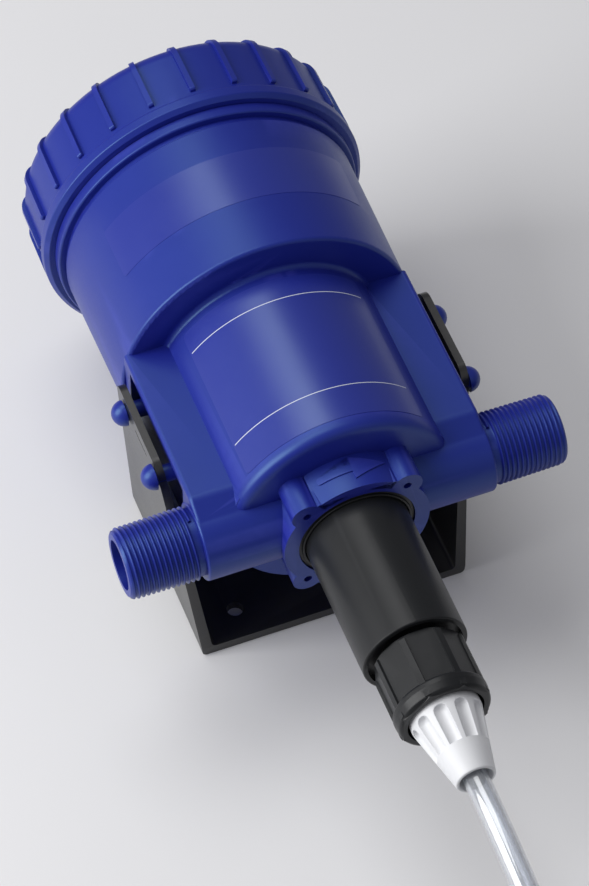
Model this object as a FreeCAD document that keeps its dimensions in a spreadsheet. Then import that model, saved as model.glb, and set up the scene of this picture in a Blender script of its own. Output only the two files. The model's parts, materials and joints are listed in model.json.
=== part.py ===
import FreeCAD, Part
import math
import os

import Sketcher

# A water-powered dosing pump lying on its wall bracket, in millimetres.
#
# Every piece is drawn in the pump's own frame and then moved as a whole by its Placement.
# In the pump's frame X runs along the ports from inlet to outlet, Y runs up the pump's
# axis from the suction hose to the bell, and Z points away from the wall or floor.
# The ports and the pump's axis cross at the origin. The finished model has its origin at
# the middle of the bracket's back face.

SIZES = {
    "axis_height": 79.5,  # pump axis above the bracket's back face
    "fit_gap": 0.3,  # between curved faces of pieces that are put together by hand
    "running_gap": 0.05,  # radial clearance of a turning or sliding fit
    "seal_gap": 0.02,  # between a rubber ring and the wall of its groove
    "seal_rub": 0.1,  # between a sliding rubber ring and its bore

    "core_radius": 41.5,  # round middle of the body, under the label
    "core_low": -1.0,  # underside of the round middle
    "lip_low": -8.8,  # front rim of that underside, which slopes down to it
    "lip_back": 20.0,  # where the slope starts, in front of the axis
    "shoulder_low": 71.2,  # step from the middle up to the motor cylinder
    "motor_low_radius": 55.0,  # motor cylinder at the step
    "motor_high_radius": 56.0,  # motor cylinder at the flange
    "groove_low": 129.0,  # shadow groove under the flange
    "groove_radius": 55.2,  # bottom of that groove
    "flange_low": 131.5,  # flange that the bell comes down on
    "flange_high": 135.6,
    "flange_radius": 58.0,
    "neck_radius": 54.5,  # male neck that the bell screws over
    "neck_high": 150.0,
    "motor_bore": 50.0,  # radius of the big piston's bore
    "motor_floor": 76.0,  # floor of the big bore
    "sleeve_bore": 36.0,  # radius of the small piston's bore
    "sleeve_floor": 6.0,  # floor of the small bore
    "rod_hole": 5.0,  # radius of the way through for the plunger

    "name_panel_low": 94.0,  # shallow bare panel round the front of the motor cylinder
    "name_panel_high": 115.0,
    "name_panel_depth": 0.7,
    "name_panel_turn": 106.0,  # degrees that the panel goes round

    "block_half_width": 53.4,  # flat block that carries the ports and the lugs
    "block_half_depth": 18.0,
    "block_low": 5.0,  # where the block's front starts to round into the port tube
    "block_edge": 1.4,  # rounding of the block's front side edges
    "side_recess": 3.6,  # depth of the recess in the block's sides
    "recess_low": 12.0,
    "recess_high": 66.0,
    "recess_front": 14.8,

    "port_radius": 14.5,  # port tube
    "port_shoulder": 53.7,  # end of the smooth port tube
    "port_end": 81.3,  # end of the male thread
    "thread_root": 12.2,  # radius at the bottom of the male thread
    "inlet_bore": 9.1,
    "outlet_bore": 8.6,
    "port_chamfer": 0.8,
    "inlet_depth": 39.0,  # how near the axis the inlet's bore comes
    "outlet_depth": 24.0,
    "riser_place": 43.5,  # passage up from the inlet to the big bore
    "riser_radius": 4.0,

    "collar_radius": 27.0,  # round collar under the body that holds the cylinder
    "collar_low": -16.8,
    "collar_front": 23.2,  # flat front of the collar
    "lobe_place": 18.4,  # screw lobes at the collar's corners
    "lobe_radius": 5.6,
    "lobe_hole": 1.5,
    "lobe_hole_depth": 9.0,
    "recess_radius": 21.6,  # recess that holds the black gland ring
    "recess_top": -11.0,
    "socket_radius": 19.4,  # socket for the injection cylinder
    "socket_top": -6.0,
    "arrow_length": 21.0,  # raised flow arrow on the collar's front
    "arrow_shaft": 3.4,
    "arrow_head": 7.6,
    "arrow_relief": 0.5,

    "lug_low_along": 27.0,  # lugs that hold the bracket
    "lug_high_along": 58.0,
    "lug_low_height": 6.0,
    "lug_high_height": 4.5,
    "lug_neck": 3.2,
    "lug_head": 4.8,
    "lug_place": 58.7,  # flat side of the lug's head

    "bracket_low": 5.0,
    "bracket_high": 80.0,
    "bracket_foot": 51.0,  # half width of the bracket's back plate
    "bracket_spread": 58.6,  # half width across the tips of its arms
    "bracket_wall": 4.0,
    "arm_wall": 2.7,  # the arms taper towards their tips
    "arm_tip": 13.0,  # height of the arms' tips above the pump's axis
    "arm_tip_low": 25.0,
    "arm_tip_high": 66.0,
    "arm_corner": 6.0,
    "lug_hole": 3.5,
    "slit_low": 37.0,  # thin slit in each arm between its two holes
    "slit_high": 49.0,
    "slit_width": 0.9,
    "screw_hole": 3.1,
    "screw_across": 68.0,
    "screw_along": 50.0,

    "bell_low": 135.8,
    "bell_mouth": 54.8,  # bore of the bell over the neck
    "bell_rim": 61.8,  # bead round the bell's open edge
    "bell_rim_high": 141.0,
    "bell_skirt": 60.4,
    "skirt_length": 27.0,  # from the bead up to where skirt and dome would meet
    "bell_round": 6.5,  # rounding between skirt and dome
    "dome_rise": 6.5,  # dome at the foot of the button's boss, above that corner
    "bell_wall": 4.0,
    "bell_inner": 51.8,  # inner wall of the bell above the seal
    "boss_radius": 11.0,
    "boss_rise": 6.5,  # top of the boss above its foot
    "well_rise": 1.5,  # floor of the well that the button sinks into, above the same
    "rib_count": 24,
    "rib_start": 2.6,  # foot of a rib above the bead
    "rib_reach": 13.0,  # how far its end lies inside its crest
    "rib_proud": 1.5,
    "rib_width": 2.0,

    "button_radius": 7.0,
    "button_rise": 5.0,  # top of the button above its boss
    "button_travel": 2.5,
    "button_stem": 3.2,
    "button_foot_radius": 6.0,
    "button_foot": 2.4,
    "bleed_drop": 0.5,  # room for the bleed seal under the sloping dome

    "ring_wire": 1.3,  # radius of the big rubber rings' section
    "small_wire": 0.9,  # radius of the small rubber rings' section

    "piston_stroke": 14.0,  # travel to each side of the middle
    "disc_low": 104.0,  # big disc of the motor piston
    "disc_thick": 9.0,
    "disc_slack": 0.4,  # radial gap of the big and the small disc in their bores
    "foot_low": 38.0,  # small disc
    "foot_thick": 8.0,
    "tube_radius": 31.0,  # tube between the two discs
    "tube_wall": 3.0,
    "valve_circle": 18.0,  # circle on which the valves stand
    "valve_radius": 5.0,
    "valve_hole": 3.2,
    "valve_thick": 2.0,
    "valve_lift": 3.0,
    "post_radius": 1.4,
    "spring_space": 16.0,  # from the foot of the rod up to the carrier
    "carrier_thick": 4.0,
    "carrier_half": 23.0,
    "carrier_half_depth": 4.0,
    "trip_radius": 2.5,  # rod that trips the valves at each end of the stroke
    "trip_clear": 4.0,  # from the small disc up to the foot of the rod
    "trip_length": 74.0,
    "trip_travel": 6.0,
    "trip_collar": 5.0,
    "spring_wire": 0.5,
    "lever_place": 20.0,  # pivots of the toggle levers
    "lever_rise": 18.0,  # lever pivots above the carrier
    "lever_reach": 16.5,
    "lever_thick": 3.0,
    "lever_pin": 1.4,
    "lever_eye": 3.2,
    "lever_pin_half": 22.0,  # half length of the pins across the tube
    "window_low": 52.0,  # windows in the tube
    "window_high": 76.0,
    "window_half": 9.0,

    "plunger_radius": 3.1,
    "plunger_low": -56.0,
    "cylinder_radius": 19.1,
    "cylinder_low": -70.7,
    "cylinder_recess": 3.0,
    "cylinder_rim": 1.8,
    "dosing_bore": 4.6,
    "gland_length": 8.0,
    "plunger_seal_radius": 5.6,
    "plunger_seal_thick": 3.0,
    "spigot_radius": 12.0,
    "spigot_low": -84.0,
    "valve_chamber": 8.0,
    "valve_chamber_top": -76.0,

    "gland_ring_lip": 1.3,
    "gland_ring_proud": 0.4,

    "nut_flat": 15.2,  # ring nut: half the distance across its flats
    "nut_top": -71.6,
    "nut_low": -98.0,
    "nut_ribs": 8,
    "nut_rib_width": 2.2,
    "nut_rib_radius": 16.95,
    "nut_collar": 17.1,
    "nut_collar_top": -91.4,
    "nut_shelf_top": -86.3,
    "nut_shelf": 3.7,
    "nut_shelf_bore": 9.6,
    "nut_mouth": 13.9,

    "tail_flange": 11.6,  # hose tail, clamped by the ring nut
    "tail_neck": 9.2,
    "tail_thread_low": -108.0,
    "tail_thread": 7.2,
    "tail_barb": 2.9,
    "tail_low": -119.0,
    "tail_bore": 1.8,
    "seat_bore": 3.2,

    "stop_cone": 5.2,  # suction valve: radius of its cone
    "stop_lift": 2.0,
    "stop_stem": 1.5,

    "cone_top": -95.6,  # white hose nut
    "cone_low": -124.5,
    "cone_big": 12.8,
    "cone_small": 7.1,
    "cone_flutes": 10,
    "flute_radius": 2.5,
    "flute_place": 12.6,
    "flute_top": -102.2,
    "flute_length": 14.5,
    "flute_lean": 2.6,  # how far a flute leans inwards over its length
    "cone_throat": 4.9,

    "hose_radius": 4.5,
    "coil_inner": 33.5,
    "coil_outer": 60.5,
    "coil_high": 17.5,
    "strainer_radius": 10.0,
    "strainer_length": 46.0,
    "strainer_wall": 1.6,
    "strainer_nose": 12.0,  # solid end that takes the hose
    "slot_gap": 3.0,  # from the weight to the slots
    "strainer_slots": 8,
    "strainer_slot": 2.2,
    "weight_radius": 8.2,
    "weight_length": 20.0,
}

# The hose's route in the finished model's frame, from the hose tail to the coil, then the
# short run from the coil's top turn to the strainer.
HOSE_ROUTE = [
    (0, -161.5, 79.5),
    (0, -221, 79.5),
    (0, -266, 44),
    (0, -301, 4.5),
    (-2, -348, 4.5),
]
COIL_MIDDLE = (-56, -330)
RUN_OUT = [(-103, -326, 13.8), (-103, -290, 13.6), (-103, -250, 10)]


class Size:
    """A number together with the spreadsheet formula that keeps it up to date."""

    def __init__(self, value, formula=None):
        self.value = float(value)
        plain = f"(0 - {abs(self.value)})" if self.value < 0 else str(self.value)
        self.formula = formula or plain

    def joined(self, sign, other, value):
        return Size(value, f"({self.formula} {sign} {other.formula})")

    def __add__(self, other):
        other = sized(other)
        return self.joined("+", other, self.value + other.value)

    def __sub__(self, other):
        other = sized(other)
        return self.joined("-", other, self.value - other.value)

    def __mul__(self, other):
        other = sized(other)
        return self.joined("*", other, self.value * other.value)

    def __truediv__(self, other):
        other = sized(other)
        return self.joined("/", other, self.value / other.value)

    def __radd__(self, other):
        return sized(other) + self

    def __rsub__(self, other):
        return sized(other) - self

    def __rmul__(self, other):
        return sized(other) * self

    def __neg__(self):
        return sized(0) - self


def sized(thing):
    return thing if isinstance(thing, Size) else Size(thing)


class Sheet:
    """The driving dimensions: a spreadsheet whose cells are read as attributes."""

    def __init__(self, document, table):
        self.cells = document.addObject("Spreadsheet::Sheet", "Sizes")
        for row, (name, number) in enumerate(table.items(), 1):
            self.cells.set(f"A{row}", name)
            self.cells.set(f"B{row}", str(number))
            self.cells.setAlias(f"B{row}", name)
            setattr(self, name, Size(number, f"Sizes.{name}"))


document = FreeCAD.newDocument("DosingPump")
dim = Sheet(document, SIZES)
document.recompute()

# Heights that follow from the pieces below them.
bell_corner = dim.bell_rim_high + dim.skirt_length
dome_foot = bell_corner + dim.dome_rise
boss_high = dome_foot + dim.boss_rise
button_well = dome_foot + dim.well_rise
trip_low = dim.foot_low + dim.foot_thick + dim.trip_clear
carrier_low = trip_low + dim.spring_space
lever_height = carrier_low + dim.lever_rise
nut_shelf_low = dim.nut_shelf_top - dim.nut_shelf

UP = FreeCAD.Rotation(FreeCAD.Vector(1, 0, 0), -90)  # turns a primitive's Z axis to Y
DOWN = FreeCAD.Rotation(FreeCAD.Vector(1, 0, 0), 90)
RIGHT = FreeCAD.Rotation(FreeCAD.Vector(0, 1, 0), 90)
LEFT = FreeCAD.Rotation(FreeCAD.Vector(0, 1, 0), -90)
OUT = FreeCAD.Rotation()

pieces = []


def bind(thing, path, size):
    thing.setExpression(path, sized(size).formula)


def place(thing, spot, turn=None):
    """Puts a body or a primitive at a spot whose three numbers stay bound to the sheet."""
    if turn is not None:
        thing.Placement = FreeCAD.Placement(FreeCAD.Vector(), turn)
    for axis, size in zip("xyz", spot):
        bind(thing, f".Placement.Base.{axis}", size)


def piece(label, spot=(0, 0, 0), turn=None):
    """A new body in the pump's frame, which its Placement carries to the finished frame."""
    body = document.addObject("PartDesign::Body", label)
    body.Label = label
    middle = (dim.bracket_low + dim.bracket_high) / 2
    home = (sized(spot[0]), spot[1] - middle, spot[2] + dim.axis_height)
    place(body, home, turn)
    pieces.append(body)
    return body


def origin_feature(body, role):
    return next(f for f in body.Origin.OriginFeatures if f.Role == role)


def sketch_on(body, plane, away=0):
    """An empty sketch on one of the body's origin planes, moved along the plane's normal."""
    sketch = body.newObject("Sketcher::SketchObject", "Outline")
    sketch.AttachmentSupport = [(origin_feature(body, plane), "")]
    sketch.MapMode = "FlatFace"
    bind(sketch, ".AttachmentOffset.Base.z", away)
    return sketch


def hold(sketch, kind, size, *where):
    """Adds a constraint with a dimension and binds the dimension to the sheet."""
    number = sketch.addConstraint(Sketcher.Constraint(kind, *where, size.value))
    bind(sketch, f"Constraints[{number}]", size)


def pin_point(sketch, shape, end, x, y):
    hold(sketch, "DistanceX", x, -1, 1, shape, end)
    hold(sketch, "DistanceY", y, -1, 1, shape, end)


def outline(sketch, corners):
    """A closed outline through its corners. A third number rounds a corner to that radius."""
    spots = [[sized(number) for number in corner] for corner in corners]
    points = [FreeCAD.Vector(spot[0].value, spot[1].value, 0) for spot in spots]
    count = len(spots)
    rounds = {}
    starts = list(points)
    ends = list(points)
    for i, spot in enumerate(spots):
        if len(spot) < 3:
            continue
        before = (points[i] - points[i - 1]).normalize()
        after = (points[(i + 1) % count] - points[i]).normalize()
        turn = before.getAngle(after)
        left = before.cross(after).z > 0
        reach = spot[2].value * math.tan(turn / 2)
        ends[i] = points[i] - before * reach
        starts[i] = points[i] + after * reach
        side = FreeCAD.Vector(-before.y, before.x, 0) * (1 if left else -1)
        centre = ends[i] + side * spot[2].value
        first, last = (ends[i], starts[i]) if left else (starts[i], ends[i])
        angles = [math.atan2(p.y - centre.y, p.x - centre.x) for p in (first, last)]
        circle = Part.Circle(centre, FreeCAD.Vector(0, 0, 1), spot[2].value)
        rounds[i] = (Part.ArcOfCircle(circle, *angles), left)
    base = sketch.GeometryCount
    for i in range(count):
        line = Part.LineSegment(starts[i], ends[(i + 1) % count])
        sketch.addGeometry(line, False)
    for i, spot in enumerate(spots):
        before = base + (i - 1) % count
        after = base + i
        if i not in rounds:
            sketch.addConstraint(Sketcher.Constraint("Coincident", before, 2, after, 1))
            pin_point(sketch, after, 1, spot[0], spot[1])
            continue
        arc_shape, left = rounds[i]
        arc = sketch.addGeometry(arc_shape, False)
        enter, leave = (1, 2) if left else (2, 1)
        sketch.addConstraint(Sketcher.Constraint("Tangent", before, 2, arc, enter))
        sketch.addConstraint(Sketcher.Constraint("Tangent", after, 1, arc, leave))
        hold(sketch, "Radius", spot[2], arc)
        corner = sketch.addGeometry(Part.Point(points[i]), True)
        sketch.addConstraint(Sketcher.Constraint("PointOnObject", corner, 1, before))
        sketch.addConstraint(Sketcher.Constraint("PointOnObject", corner, 1, after))
        pin_point(sketch, corner, 1, spot[0], spot[1])
    return sketch


def turned(body, corners, plane="XY_Plane", axis="V_Axis", cut=False, angle=360):
    """Turns an outline round the sketch's vertical (or horizontal) axis."""
    sketch = outline(sketch_on(body, plane), corners)
    feature = body.newObject("PartDesign::Groove" if cut else "PartDesign::Revolution", "Turned")
    feature.Profile = sketch
    feature.ReferenceAxis = (sketch, [axis])
    if isinstance(angle, Size):
        feature.Midplane = True
        bind(feature, "Angle", angle)
    else:
        feature.Angle = angle
    return feature


def padded(body, plane, outlines, length, away=0, middle=False, cut=False, through=False):
    """Pads or pockets one or more outlines drawn in one sketch."""
    sketch = sketch_on(body, plane, away)
    for corners in outlines:
        outline(sketch, corners)
    feature = body.newObject("PartDesign::Pocket" if cut else "PartDesign::Pad", "Padded")
    feature.Profile = sketch
    feature.Midplane = middle
    if through:
        feature.Type = "ThroughAll"
    else:
        bind(feature, "Length", length)
    return feature


def rounded_edges(body, radius, wanted):
    """Rounds the edges whose ends and middle all lie where wanted says."""
    base = body.Tip
    document.recompute()
    names = []
    for i, edge in enumerate(base.Shape.Edges, 1):
        spots = [vertex.Point for vertex in edge.Vertexes]
        spots.append(edge.valueAt((edge.FirstParameter + edge.LastParameter) / 2))
        if all(wanted(spot) for spot in spots):
            names.append(f"Edge{i}")
    feature = body.newObject("PartDesign::Fillet", "Rounded")
    feature.Base = (base, names)
    bind(feature, "Radius", radius)
    return feature


def round_bar(body, radius, start, length, turn, cut=False):
    """A cylinder from a start point along the direction that the turn gives."""
    kind = "Subtractive" if cut else "Additive"
    bar = body.newObject(f"PartDesign::{kind}Cylinder", "Bar")
    bind(bar, "Radius", radius)
    bind(bar, "Height", length)
    place(bar, start, turn)
    return bar


def block(body, low, high, cut=False):
    """A box between its lowest and its highest corner."""
    kind = "Subtractive" if cut else "Additive"
    box = body.newObject(f"PartDesign::{kind}Box", "Block")
    for side, a, b in zip(("Length", "Width", "Height"), low, high):
        bind(box, side, sized(b) - a)
    place(box, low, OUT)
    return box


def around(body, features, count):
    """Repeats features evenly round the pump's axis."""
    pattern = body.newObject("PartDesign::PolarPattern", "Around")
    pattern.Originals = features
    pattern.Axis = (origin_feature(body, "Y_Axis"), [""])
    pattern.Angle = 360
    bind(pattern, "Occurrences", count)
    body.Tip = pattern
    return pattern


def rubber_ring(label, middle_radius, along, wire):
    """A rubber ring round the pump's axis."""
    body = piece(label)
    ring = body.newObject("PartDesign::AdditiveTorus", "Ring")
    bind(ring, "Radius1", middle_radius)
    bind(ring, "Radius2", wire)
    place(ring, (0, along, 0), UP)
    return body


def coil_spring(label, middle_radius, low, high, turns):
    """A wire spring round the pump's axis, drawn with a square wire."""
    body = piece(label)
    wire = dim.spring_wire
    sketch = outline(sketch_on(body, "XY_Plane"), [
        (middle_radius - wire, low),
        (middle_radius + wire, low),
        (middle_radius + wire, low + wire * 2),
        (middle_radius - wire, low + wire * 2),
    ])
    helix = body.newObject("PartDesign::AdditiveHelix", "Coils")
    helix.Profile = sketch
    helix.ReferenceAxis = (sketch, ["V_Axis"])
    helix.Mode = "height-turns-angle"
    bind(helix, "Height", high - low - wire * 2)
    helix.Turns = turns
    return body


def on_circle(radius, count, turn=0.0):
    """Points (x, z) spread evenly on a circle round the pump's axis."""
    angles = [math.radians(turn + 360 * i / count) for i in range(count)]
    return [(radius * math.cos(a), radius * math.sin(a)) for a in angles]


# ---- the bracket and the body --------------------------------------------------------


def wall_bracket():
    """A channel whose leaning arms hold the pump by four lugs."""
    body = piece("wall_bracket")
    floor = -dim.axis_height
    lean = (dim.bracket_spread - dim.bracket_foot) / (dim.arm_tip - floor)
    plate = floor + dim.bracket_wall
    inner_foot = dim.bracket_foot + lean * dim.bracket_wall - dim.bracket_wall
    inner_tip = dim.bracket_spread - dim.arm_wall
    section = [
        (-dim.bracket_foot, floor, 2),
        (dim.bracket_foot, floor, 2),
        (dim.bracket_spread, dim.arm_tip),
        (inner_tip, dim.arm_tip),
        (inner_foot, plate, 2),
        (-inner_foot, plate, 2),
        (-inner_tip, dim.arm_tip),
        (-dim.bracket_spread, dim.arm_tip),
    ]
    length = dim.bracket_high - dim.bracket_low
    padded(body, "XZ_Plane", [section], length, away=-dim.bracket_high)
    arm = [
        (dim.bracket_low, floor - 1),
        (dim.bracket_high, floor - 1),
        (dim.bracket_high, plate),
        (dim.arm_tip_high, dim.arm_tip, dim.arm_corner),
        (dim.arm_tip_low, dim.arm_tip, dim.arm_corner),
        (dim.bracket_low, plate),
    ]
    waste = [
        (dim.bracket_low - 9, floor - 9),
        (dim.bracket_high + 9, floor - 9),
        (dim.bracket_high + 9, dim.arm_tip + 9),
        (dim.bracket_low - 9, dim.arm_tip + 9),
    ]
    width = dim.bracket_spread * 2 + 2
    padded(body, "YZ_Plane", [waste, arm], width, middle=True, cut=True)
    for along, height in lug_places():
        round_bar(body, dim.lug_hole, (-width / 2, along, height), width, RIGHT, cut=True)
    slit = (dim.lug_low_height + dim.lug_high_height) / 2
    block(body, (-width / 2, dim.slit_low, slit - dim.slit_width / 2),
          (width / 2, dim.slit_high, slit + dim.slit_width / 2), cut=True)
    middle = (dim.bracket_low + dim.bracket_high) / 2
    for across in (-dim.screw_across / 2, dim.screw_across / 2):
        for along in (middle - dim.screw_along / 2, middle + dim.screw_along / 2):
            round_bar(body, dim.screw_hole, (across, along, floor - 1),
                      dim.bracket_wall + 2, OUT, cut=True)
    return body


def lug_places():
    """Places along the axis and heights of the two lugs on each side."""
    return [
        (dim.lug_low_along, dim.lug_low_height),
        (dim.lug_high_along, dim.lug_high_height),
    ]


def pump_body():
    """The moulded body: collar, port block, round middle and motor cylinder in one."""
    body = piece("pump_body")
    body_lip(body)
    body_collar(body)
    body_block(body)
    turned(body, [
        (0, dim.core_low),
        (dim.core_radius, dim.core_low, 1.5),
        (dim.core_radius, dim.shoulder_low, 2),
        (dim.motor_low_radius, dim.shoulder_low, 1.5),
        (dim.motor_high_radius, dim.groove_low),
        (dim.groove_radius, dim.groove_low + 0.8),
        (dim.groove_radius, dim.flange_low),
        (dim.flange_radius, dim.flange_low, 0.8),
        (dim.flange_radius, dim.flange_high),
        (dim.neck_radius, dim.flange_high),
        (dim.neck_radius, dim.neck_high),
        (0, dim.neck_high),
    ])
    turned(body, [
        (-dim.port_end, 0),
        (-dim.port_end, dim.thread_root - dim.port_chamfer),
        (dim.port_chamfer - dim.port_end, dim.thread_root),
        (-dim.port_shoulder, dim.thread_root),
        (-dim.port_shoulder, dim.port_radius, 1),
        (dim.port_shoulder, dim.port_radius, 1),
        (dim.port_shoulder, dim.thread_root),
        (dim.port_end - dim.port_chamfer, dim.thread_root),
        (dim.port_end, dim.thread_root - dim.port_chamfer),
        (dim.port_end, 0),
    ], axis="H_Axis")
    for side, turn in ((1, RIGHT), (-1, LEFT)):
        for along, height in lug_places():
            lug(body, side, turn, along, height)
    body_water_ways(body)
    name_panel(body)
    flow_arrow(body)
    return body


def body_lip(body):
    """The underside of the round middle, which slopes down to its front rim."""
    round_bar(body, dim.core_radius, (0, dim.lip_low, 0), dim.core_low - dim.lip_low + 3, UP)
    far = dim.core_radius + 1
    padded(body, "YZ_Plane", [[
        (dim.lip_low - 1, -far),
        (dim.core_low, -far),
        (dim.core_low, dim.lip_back),
        (dim.lip_low, dim.core_radius),
        (dim.lip_low - 1, far),
    ]], far * 2, middle=True, cut=True)


def body_collar(body):
    """The round collar with a flat front and four screw lobes, under the round middle."""
    tall = dim.core_low - dim.collar_low + 3
    round_bar(body, dim.collar_radius, (0, dim.collar_low, 0), tall, UP)
    far = dim.collar_radius + 1
    for low, high in ((dim.collar_front, far), (-far, -dim.collar_front)):
        block(body, (-far, dim.collar_low - 1, low), (far, dim.core_low + 3, high), cut=True)
    for across, out in lobe_places():
        round_bar(body, dim.lobe_radius, (across, dim.collar_low, out), tall, UP)


def lobe_places():
    place = dim.lobe_place
    return [(place, place), (place, -place), (-place, place), (-place, -place)]


def body_block(body):
    """The flat block that carries the ports, rounded into the port tube below."""
    depth = dim.block_half_depth
    tuck = dim.port_radius * 0.2
    side = [
        (-tuck, dim.port_radius * 0.97),
        (-tuck, -dim.port_radius * 0.97),
        (dim.block_low, -depth, 7),
        (dim.shoulder_low + 1, -depth),
        (dim.shoulder_low + 1, depth),
        (dim.block_low, depth, 7),
    ]
    padded(body, "YZ_Plane", [side], dim.block_half_width * 2, middle=True)
    wide = dim.block_half_width.value - 0.01
    front = dim.port_radius.value * 0.9
    rounded_edges(body, dim.block_edge, lambda spot: abs(spot.x) > wide and spot.z > front)
    floor = dim.block_half_width - dim.side_recess
    for low, high in ((floor, dim.block_half_width + 1), (-dim.block_half_width - 1, -floor)):
        block(body, (low, dim.recess_low, -depth - 1), (high, dim.recess_high, dim.recess_front),
              cut=True)
        block(body, (low, dim.recess_high - 1, -depth - 1), (high, dim.shoulder_low + 2, -6),
              cut=True)


def lug(body, side, turn, along, height):
    """A neck and a domed head, out of the block's side through the bracket's arm."""
    root = dim.block_half_width - dim.side_recess - 1
    neck = dim.lug_place - root + 1
    round_bar(body, dim.lug_neck, (root * side, along, height), neck, turn)
    head = body.newObject("PartDesign::AdditiveSphere", "Head")
    bind(head, "Radius", dim.lug_head)
    head.Angle1 = 0
    place(head, (dim.lug_place * side, along, height), turn)


def body_water_ways(body):
    """Bores for the two pistons, the cylinder's socket, both ports and their risers."""
    turned(body, [
        (0, dim.neck_high + 1),
        (dim.motor_bore, dim.neck_high + 1),
        (dim.motor_bore, dim.motor_floor),
        (dim.sleeve_bore, dim.motor_floor),
        (dim.sleeve_bore, dim.sleeve_floor),
        (dim.rod_hole, dim.sleeve_floor),
        (dim.rod_hole, dim.socket_top),
        (dim.socket_radius, dim.socket_top),
        (dim.socket_radius, dim.recess_top),
        (dim.recess_radius, dim.recess_top),
        (dim.recess_radius, dim.collar_low - 1),
        (0, dim.collar_low - 1),
    ], cut=True)
    end = dim.port_end + 1
    round_bar(body, dim.inlet_bore, (-end, 0, 0), end - dim.inlet_depth, RIGHT, cut=True)
    round_bar(body, dim.outlet_bore, (end, 0, 0), end - dim.outlet_depth, LEFT, cut=True)
    riser = dim.motor_floor + 1
    round_bar(body, dim.riser_radius, (-dim.riser_place, 0, 0), riser, UP, cut=True)
    for across, out in lobe_places():
        round_bar(body, dim.lobe_hole, (across, dim.collar_low - 1, out),
                  dim.lobe_hole_depth + 1, UP, cut=True)


def name_panel(body):
    """The shallow bare panel round the front of the motor cylinder."""
    floor = dim.motor_low_radius + 0.5 - dim.name_panel_depth
    turned(body, [
        (dim.name_panel_low, floor),
        (dim.name_panel_high, floor),
        (dim.name_panel_high, floor + 4),
        (dim.name_panel_low, floor + 4),
    ], plane="YZ_Plane", axis="H_Axis", cut=True, angle=dim.name_panel_turn)


def flow_arrow(body):
    """The raised arrow on the collar's front, from inlet to outlet."""
    middle = (dim.collar_low + dim.core_low) / 2
    half = dim.arrow_length / 2
    neck = half - dim.arrow_head
    arrow = [
        (-half, middle - dim.arrow_shaft / 2),
        (neck, middle - dim.arrow_shaft / 2),
        (neck, middle - dim.arrow_head / 2),
        (half, middle),
        (neck, middle + dim.arrow_head / 2),
        (neck, middle + dim.arrow_shaft / 2),
        (-half, middle + dim.arrow_shaft / 2),
    ]
    thick = dim.arrow_relief + 1
    padded(body, "XY_Plane", [arrow], thick, away=dim.collar_front - 1)


# ---- the bell and its air bleed ------------------------------------------------------


def bell_housing():
    """The ribbed cap that screws over the body's neck."""
    body = piece("bell_housing")
    top = bell_corner - dim.bell_wall
    step = dim.neck_high + dim.ring_wire * 2 + dim.seal_gap
    turned(body, [
        (dim.bell_mouth, dim.bell_low),
        (dim.bell_rim - 1.6, dim.bell_low, 0.6),
        (dim.bell_rim, dim.bell_low + 1.6, 0.8),
        (dim.bell_rim, dim.bell_rim_high, 0.8),
        (dim.bell_skirt, dim.bell_rim_high + 1),
        (dim.bell_skirt - 0.4, bell_corner, dim.bell_round),
        (dim.boss_radius, dome_foot, 2),
        (dim.boss_radius, boss_high, 1),
        (dim.button_radius + dim.fit_gap, boss_high),
        (dim.button_radius + dim.fit_gap, button_well),
        (dim.button_stem + dim.fit_gap, button_well),
        (dim.button_stem + dim.fit_gap, dome_foot - dim.bell_wall),
        (dim.bell_inner, top, dim.bell_round - dim.bell_wall),
        (dim.bell_inner, step),
        (dim.bell_mouth, step),
    ])
    proud = dim.bell_skirt + dim.rib_proud
    rib = grip_rib(body, proud)
    around(body, [rib], dim.rib_count)
    return body


def grip_rib(body, proud):
    """One grip rib, up the skirt and over the rounding on to the dome."""
    low = dim.bell_rim_high + dim.rib_start
    slope = dim.dome_rise / (dim.bell_skirt - dim.boss_radius)
    crest = bell_corner + dim.rib_proud
    inside = dim.bell_wall / 2
    return padded(body, "XY_Plane", [[
        (dim.bell_skirt - inside, low),
        (proud, low, 0.9),
        (proud - 0.4, crest - slope * dim.rib_proud, dim.bell_round + dim.rib_proud),
        (proud - dim.rib_reach, bell_corner + slope * dim.rib_reach),
        (proud - dim.rib_reach, bell_corner - inside),
        (dim.bell_skirt - inside, bell_corner - inside, dim.bell_round - inside),
    ]], dim.rib_width, middle=True)


def bleed_button():
    """The button that lets air out of the bell: a head, a stem and a foot."""
    body = piece("bleed_button")
    head_low = button_well + dim.button_travel + 0.3
    foot = dome_foot - dim.bell_wall - dim.bleed_drop - dim.small_wire * 2
    turned(body, [
        (0, foot - dim.button_foot),
        (dim.button_foot_radius, foot - dim.button_foot, 0.6),
        (dim.button_foot_radius, foot),
        (dim.button_stem, foot),
        (dim.button_stem, head_low + 3),
        (dim.button_radius - 1.2, head_low + 3),
        (dim.button_radius - 1.2, head_low),
        (dim.button_radius, head_low),
        (dim.button_radius, boss_high + dim.button_rise, 1.2),
        (0, boss_high + dim.button_rise),
    ])
    return body


def bleed_parts():
    """The ring that the foot pulls against the bell, and the spring under the head."""
    ring = dome_foot - dim.bell_wall - dim.bleed_drop - dim.small_wire
    rubber_ring("bleed_seal", dim.button_stem + dim.small_wire + 0.6, ring,
                dim.small_wire - dim.seal_gap)
    low = button_well + 0.05
    high = button_well + dim.button_travel + 3.2
    coil_spring("bleed_spring", dim.button_stem + 1.2, low, high, 4)


# ---- the water motor -----------------------------------------------------------------


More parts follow.
